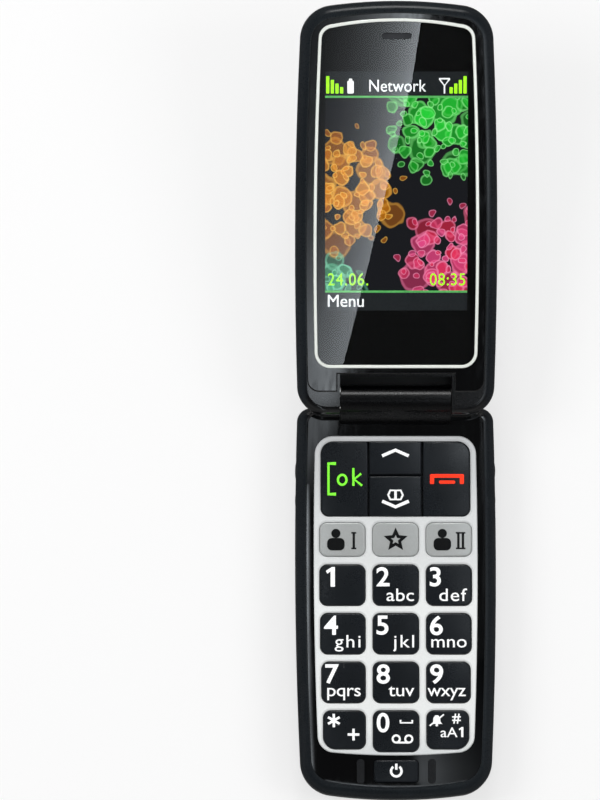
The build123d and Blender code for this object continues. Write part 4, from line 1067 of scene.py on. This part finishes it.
# Glowing cards that show only as a sheen in the phone. Each row of "edge" gives x and y on the sheet, how far
# the glow reaches from there in millimetres, and its strength. "soft" is how gently the glow starts, "level"
# the height of the face on its sheet, and "distance" how far off the card hangs, in metres.
sheen = {"side": -1, "soft": 0.002, "steps": (0, 0.01, 2, 4, 6, 9, 12, 16, 20, 26, 34)}
rim = {"side": 1, "distance": 0.1, "soft": 0.5, "steps": (0, 3, 7, 13, 22, 36, 60)}
thinLine = {"side": 1, "level": 10.55, "distance": 0.03, "soft": 0.1, "steps": (0, 0.1, 0.25, 0.4, 0.6, 0.9)}
cardColour = (0.87, 0.94, 1.0, 1)
cards = {
    "lid_card": {
        **sheen, "place": innerPlace, "level": 3.6, "distance": 0.8,
        "edge": [
            (-14.5, -1.0, 16.0, 4.4), (-13.3, 4.0, 15.0, 3.8), (-13.0, 7.4, 14.0, 3.3), (-12.6, 8.6, 14.0, 4.3),
            (-9.4, 21.7, 10.0, 5.0), (-3.0, 48.0, 7.0, 5.4), (3.6, 76.7, 7.4, 6.4), (6.6, 96.0, 7.4, 6.4),
        ],
    },
    "base_card": {
        **sheen, "place": hingePlace, "level": 10.55, "distance": 0.5,
        "edge": [
            (-5.0, 32.0, 16.0, 1.6), (-13.5, -1.0, 14.0, 2.2), (-17.0, -9.0, 12.0, 1.6), (-19.8, -20.0, 8.0, 0.4),
            (-21.5, -27.0, 6.0, 0.0),
        ],
    },
    "foot_card": {
        **sheen, "place": hingePlace, "side": 1, "level": 10.55, "distance": 0.1, "soft": 2.6,
        "edge": [
            (5.0, -62.0, 7.0, 0.0), (4.4, -74.0, 6.0, 0.5), (4.0, -82.0, 5.2, 1.5), (4.0, -88.0, 5.2, 2.6),
            (4.0, -91.0, 5.2, 2.6), (4.5, -94.5, 6.0, 0.0),
        ],
    },
    # Two close cards light the right rims from their inner edge outwards.
    "base_rim_card": {
        **rim, "place": hingePlace, "level": 11.0,
        "edge": [
            (22.0, -1.0, 12.0, 1.6), (22.4, -13.0, 12.0, 1.5), (22.4, -32.0, 12.0, 1.7), (22.2, -56.0, 14.0, 2.4),
            (21.2, -76.0, 16.0, 2.4), (20.4, -90.0, 16.0, 2.4),
        ],
    },
    "lid_rim_card": {
        **rim, "place": innerPlace, "level": 3.6,
        "edge": [
            (21.6, 1.0, 26.0, 1.2), (21.8, 13.0, 26.0, 5.6), (21.8, 36.0, 26.0, 6.0), (21.6, 56.0, 26.0, 5.0),
            (21.0, 76.0, 26.0, 4.6), (20.2, 92.0, 26.0, 4.6),
        ],
    },
    # Two narrow ones draw the line of light in the face plate's edge, at its foot and on its left.
    "foot_line_card": {
        **thinLine, "place": hingePlace @ Matrix.Rotation(-math.pi / 2, 4, "Z"),
        "edge": [
            (90.75, -17.0, 0.22, 3.0), (91.5, -13.0, 0.22, 7.0), (92.1, -7.0, 0.22, 7.0), (92.3, 0.0, 0.22, 5.5),
            (92.1, 7.0, 0.22, 4.5), (91.5, 13.0, 0.22, 3.5), (90.75, 17.0, 0.22, 2.0),
        ],
    },
    "plate_line_card": {
        **thinLine, "place": hingePlace,
        "edge": [
            (-21.3, -20.0, 0.22, 6.0), (-21.4, -28.0, 0.22, 18.0), (-21.4, -42.0, 0.22, 20.0),
            (-21.27, -56.0, 0.22, 16.0), (-20.97, -70.0, 0.22, 11.0), (-20.57, -82.0, 0.22, 11.0),
            (-20.12, -90.0, 0.22, 10.0),
        ],
    },
}
for name, look in cards.items():
    columns, rows, place = len(look["steps"]), len(look["edge"]), look["place"]
    bpy.ops.mesh.primitive_grid_add(x_subdivisions=columns - 1, y_subdivisions=rows - 1)
    card = bpy.context.object
    card.name = name
    normal = (place.to_3x3() @ Vector((0, 0, 1))).normalized()
    fade = card.data.attributes.new("fade", "FLOAT", "POINT")
    for index, vertex in enumerate(card.data.vertices):
        # Each corner hangs where the eye's ray goes on from that point of the glossy face.
        row, column = divmod(index, columns)
        x, y, reach, strength = look["edge"][row]
        step = look["steps"][column]
        point = place @ Vector((x + step * look["side"], y, look["level"]))
        ray = (point - eyePlace).normalized()
        ray -= 2 * ray.dot(normal) * normal
        vertex.co = point + ray * look["distance"]
        fade.data[index].value = strength * math.exp(-step / reach) * (1 - math.exp(-step / look["soft"]))
    glowing = Finish(name)
    share = glowing.node("Attribute", {"attribute_name": "fade"}, {}, "Fac")
    glowing.surface(glowing.node("Emission", {}, {"Strength": share, "Color": cardColour}))
    card.data.materials.append(glowing.material)
    card.visible_camera = card.visible_diffuse = card.visible_transmission = card.visible_shadow = False

print("finish")
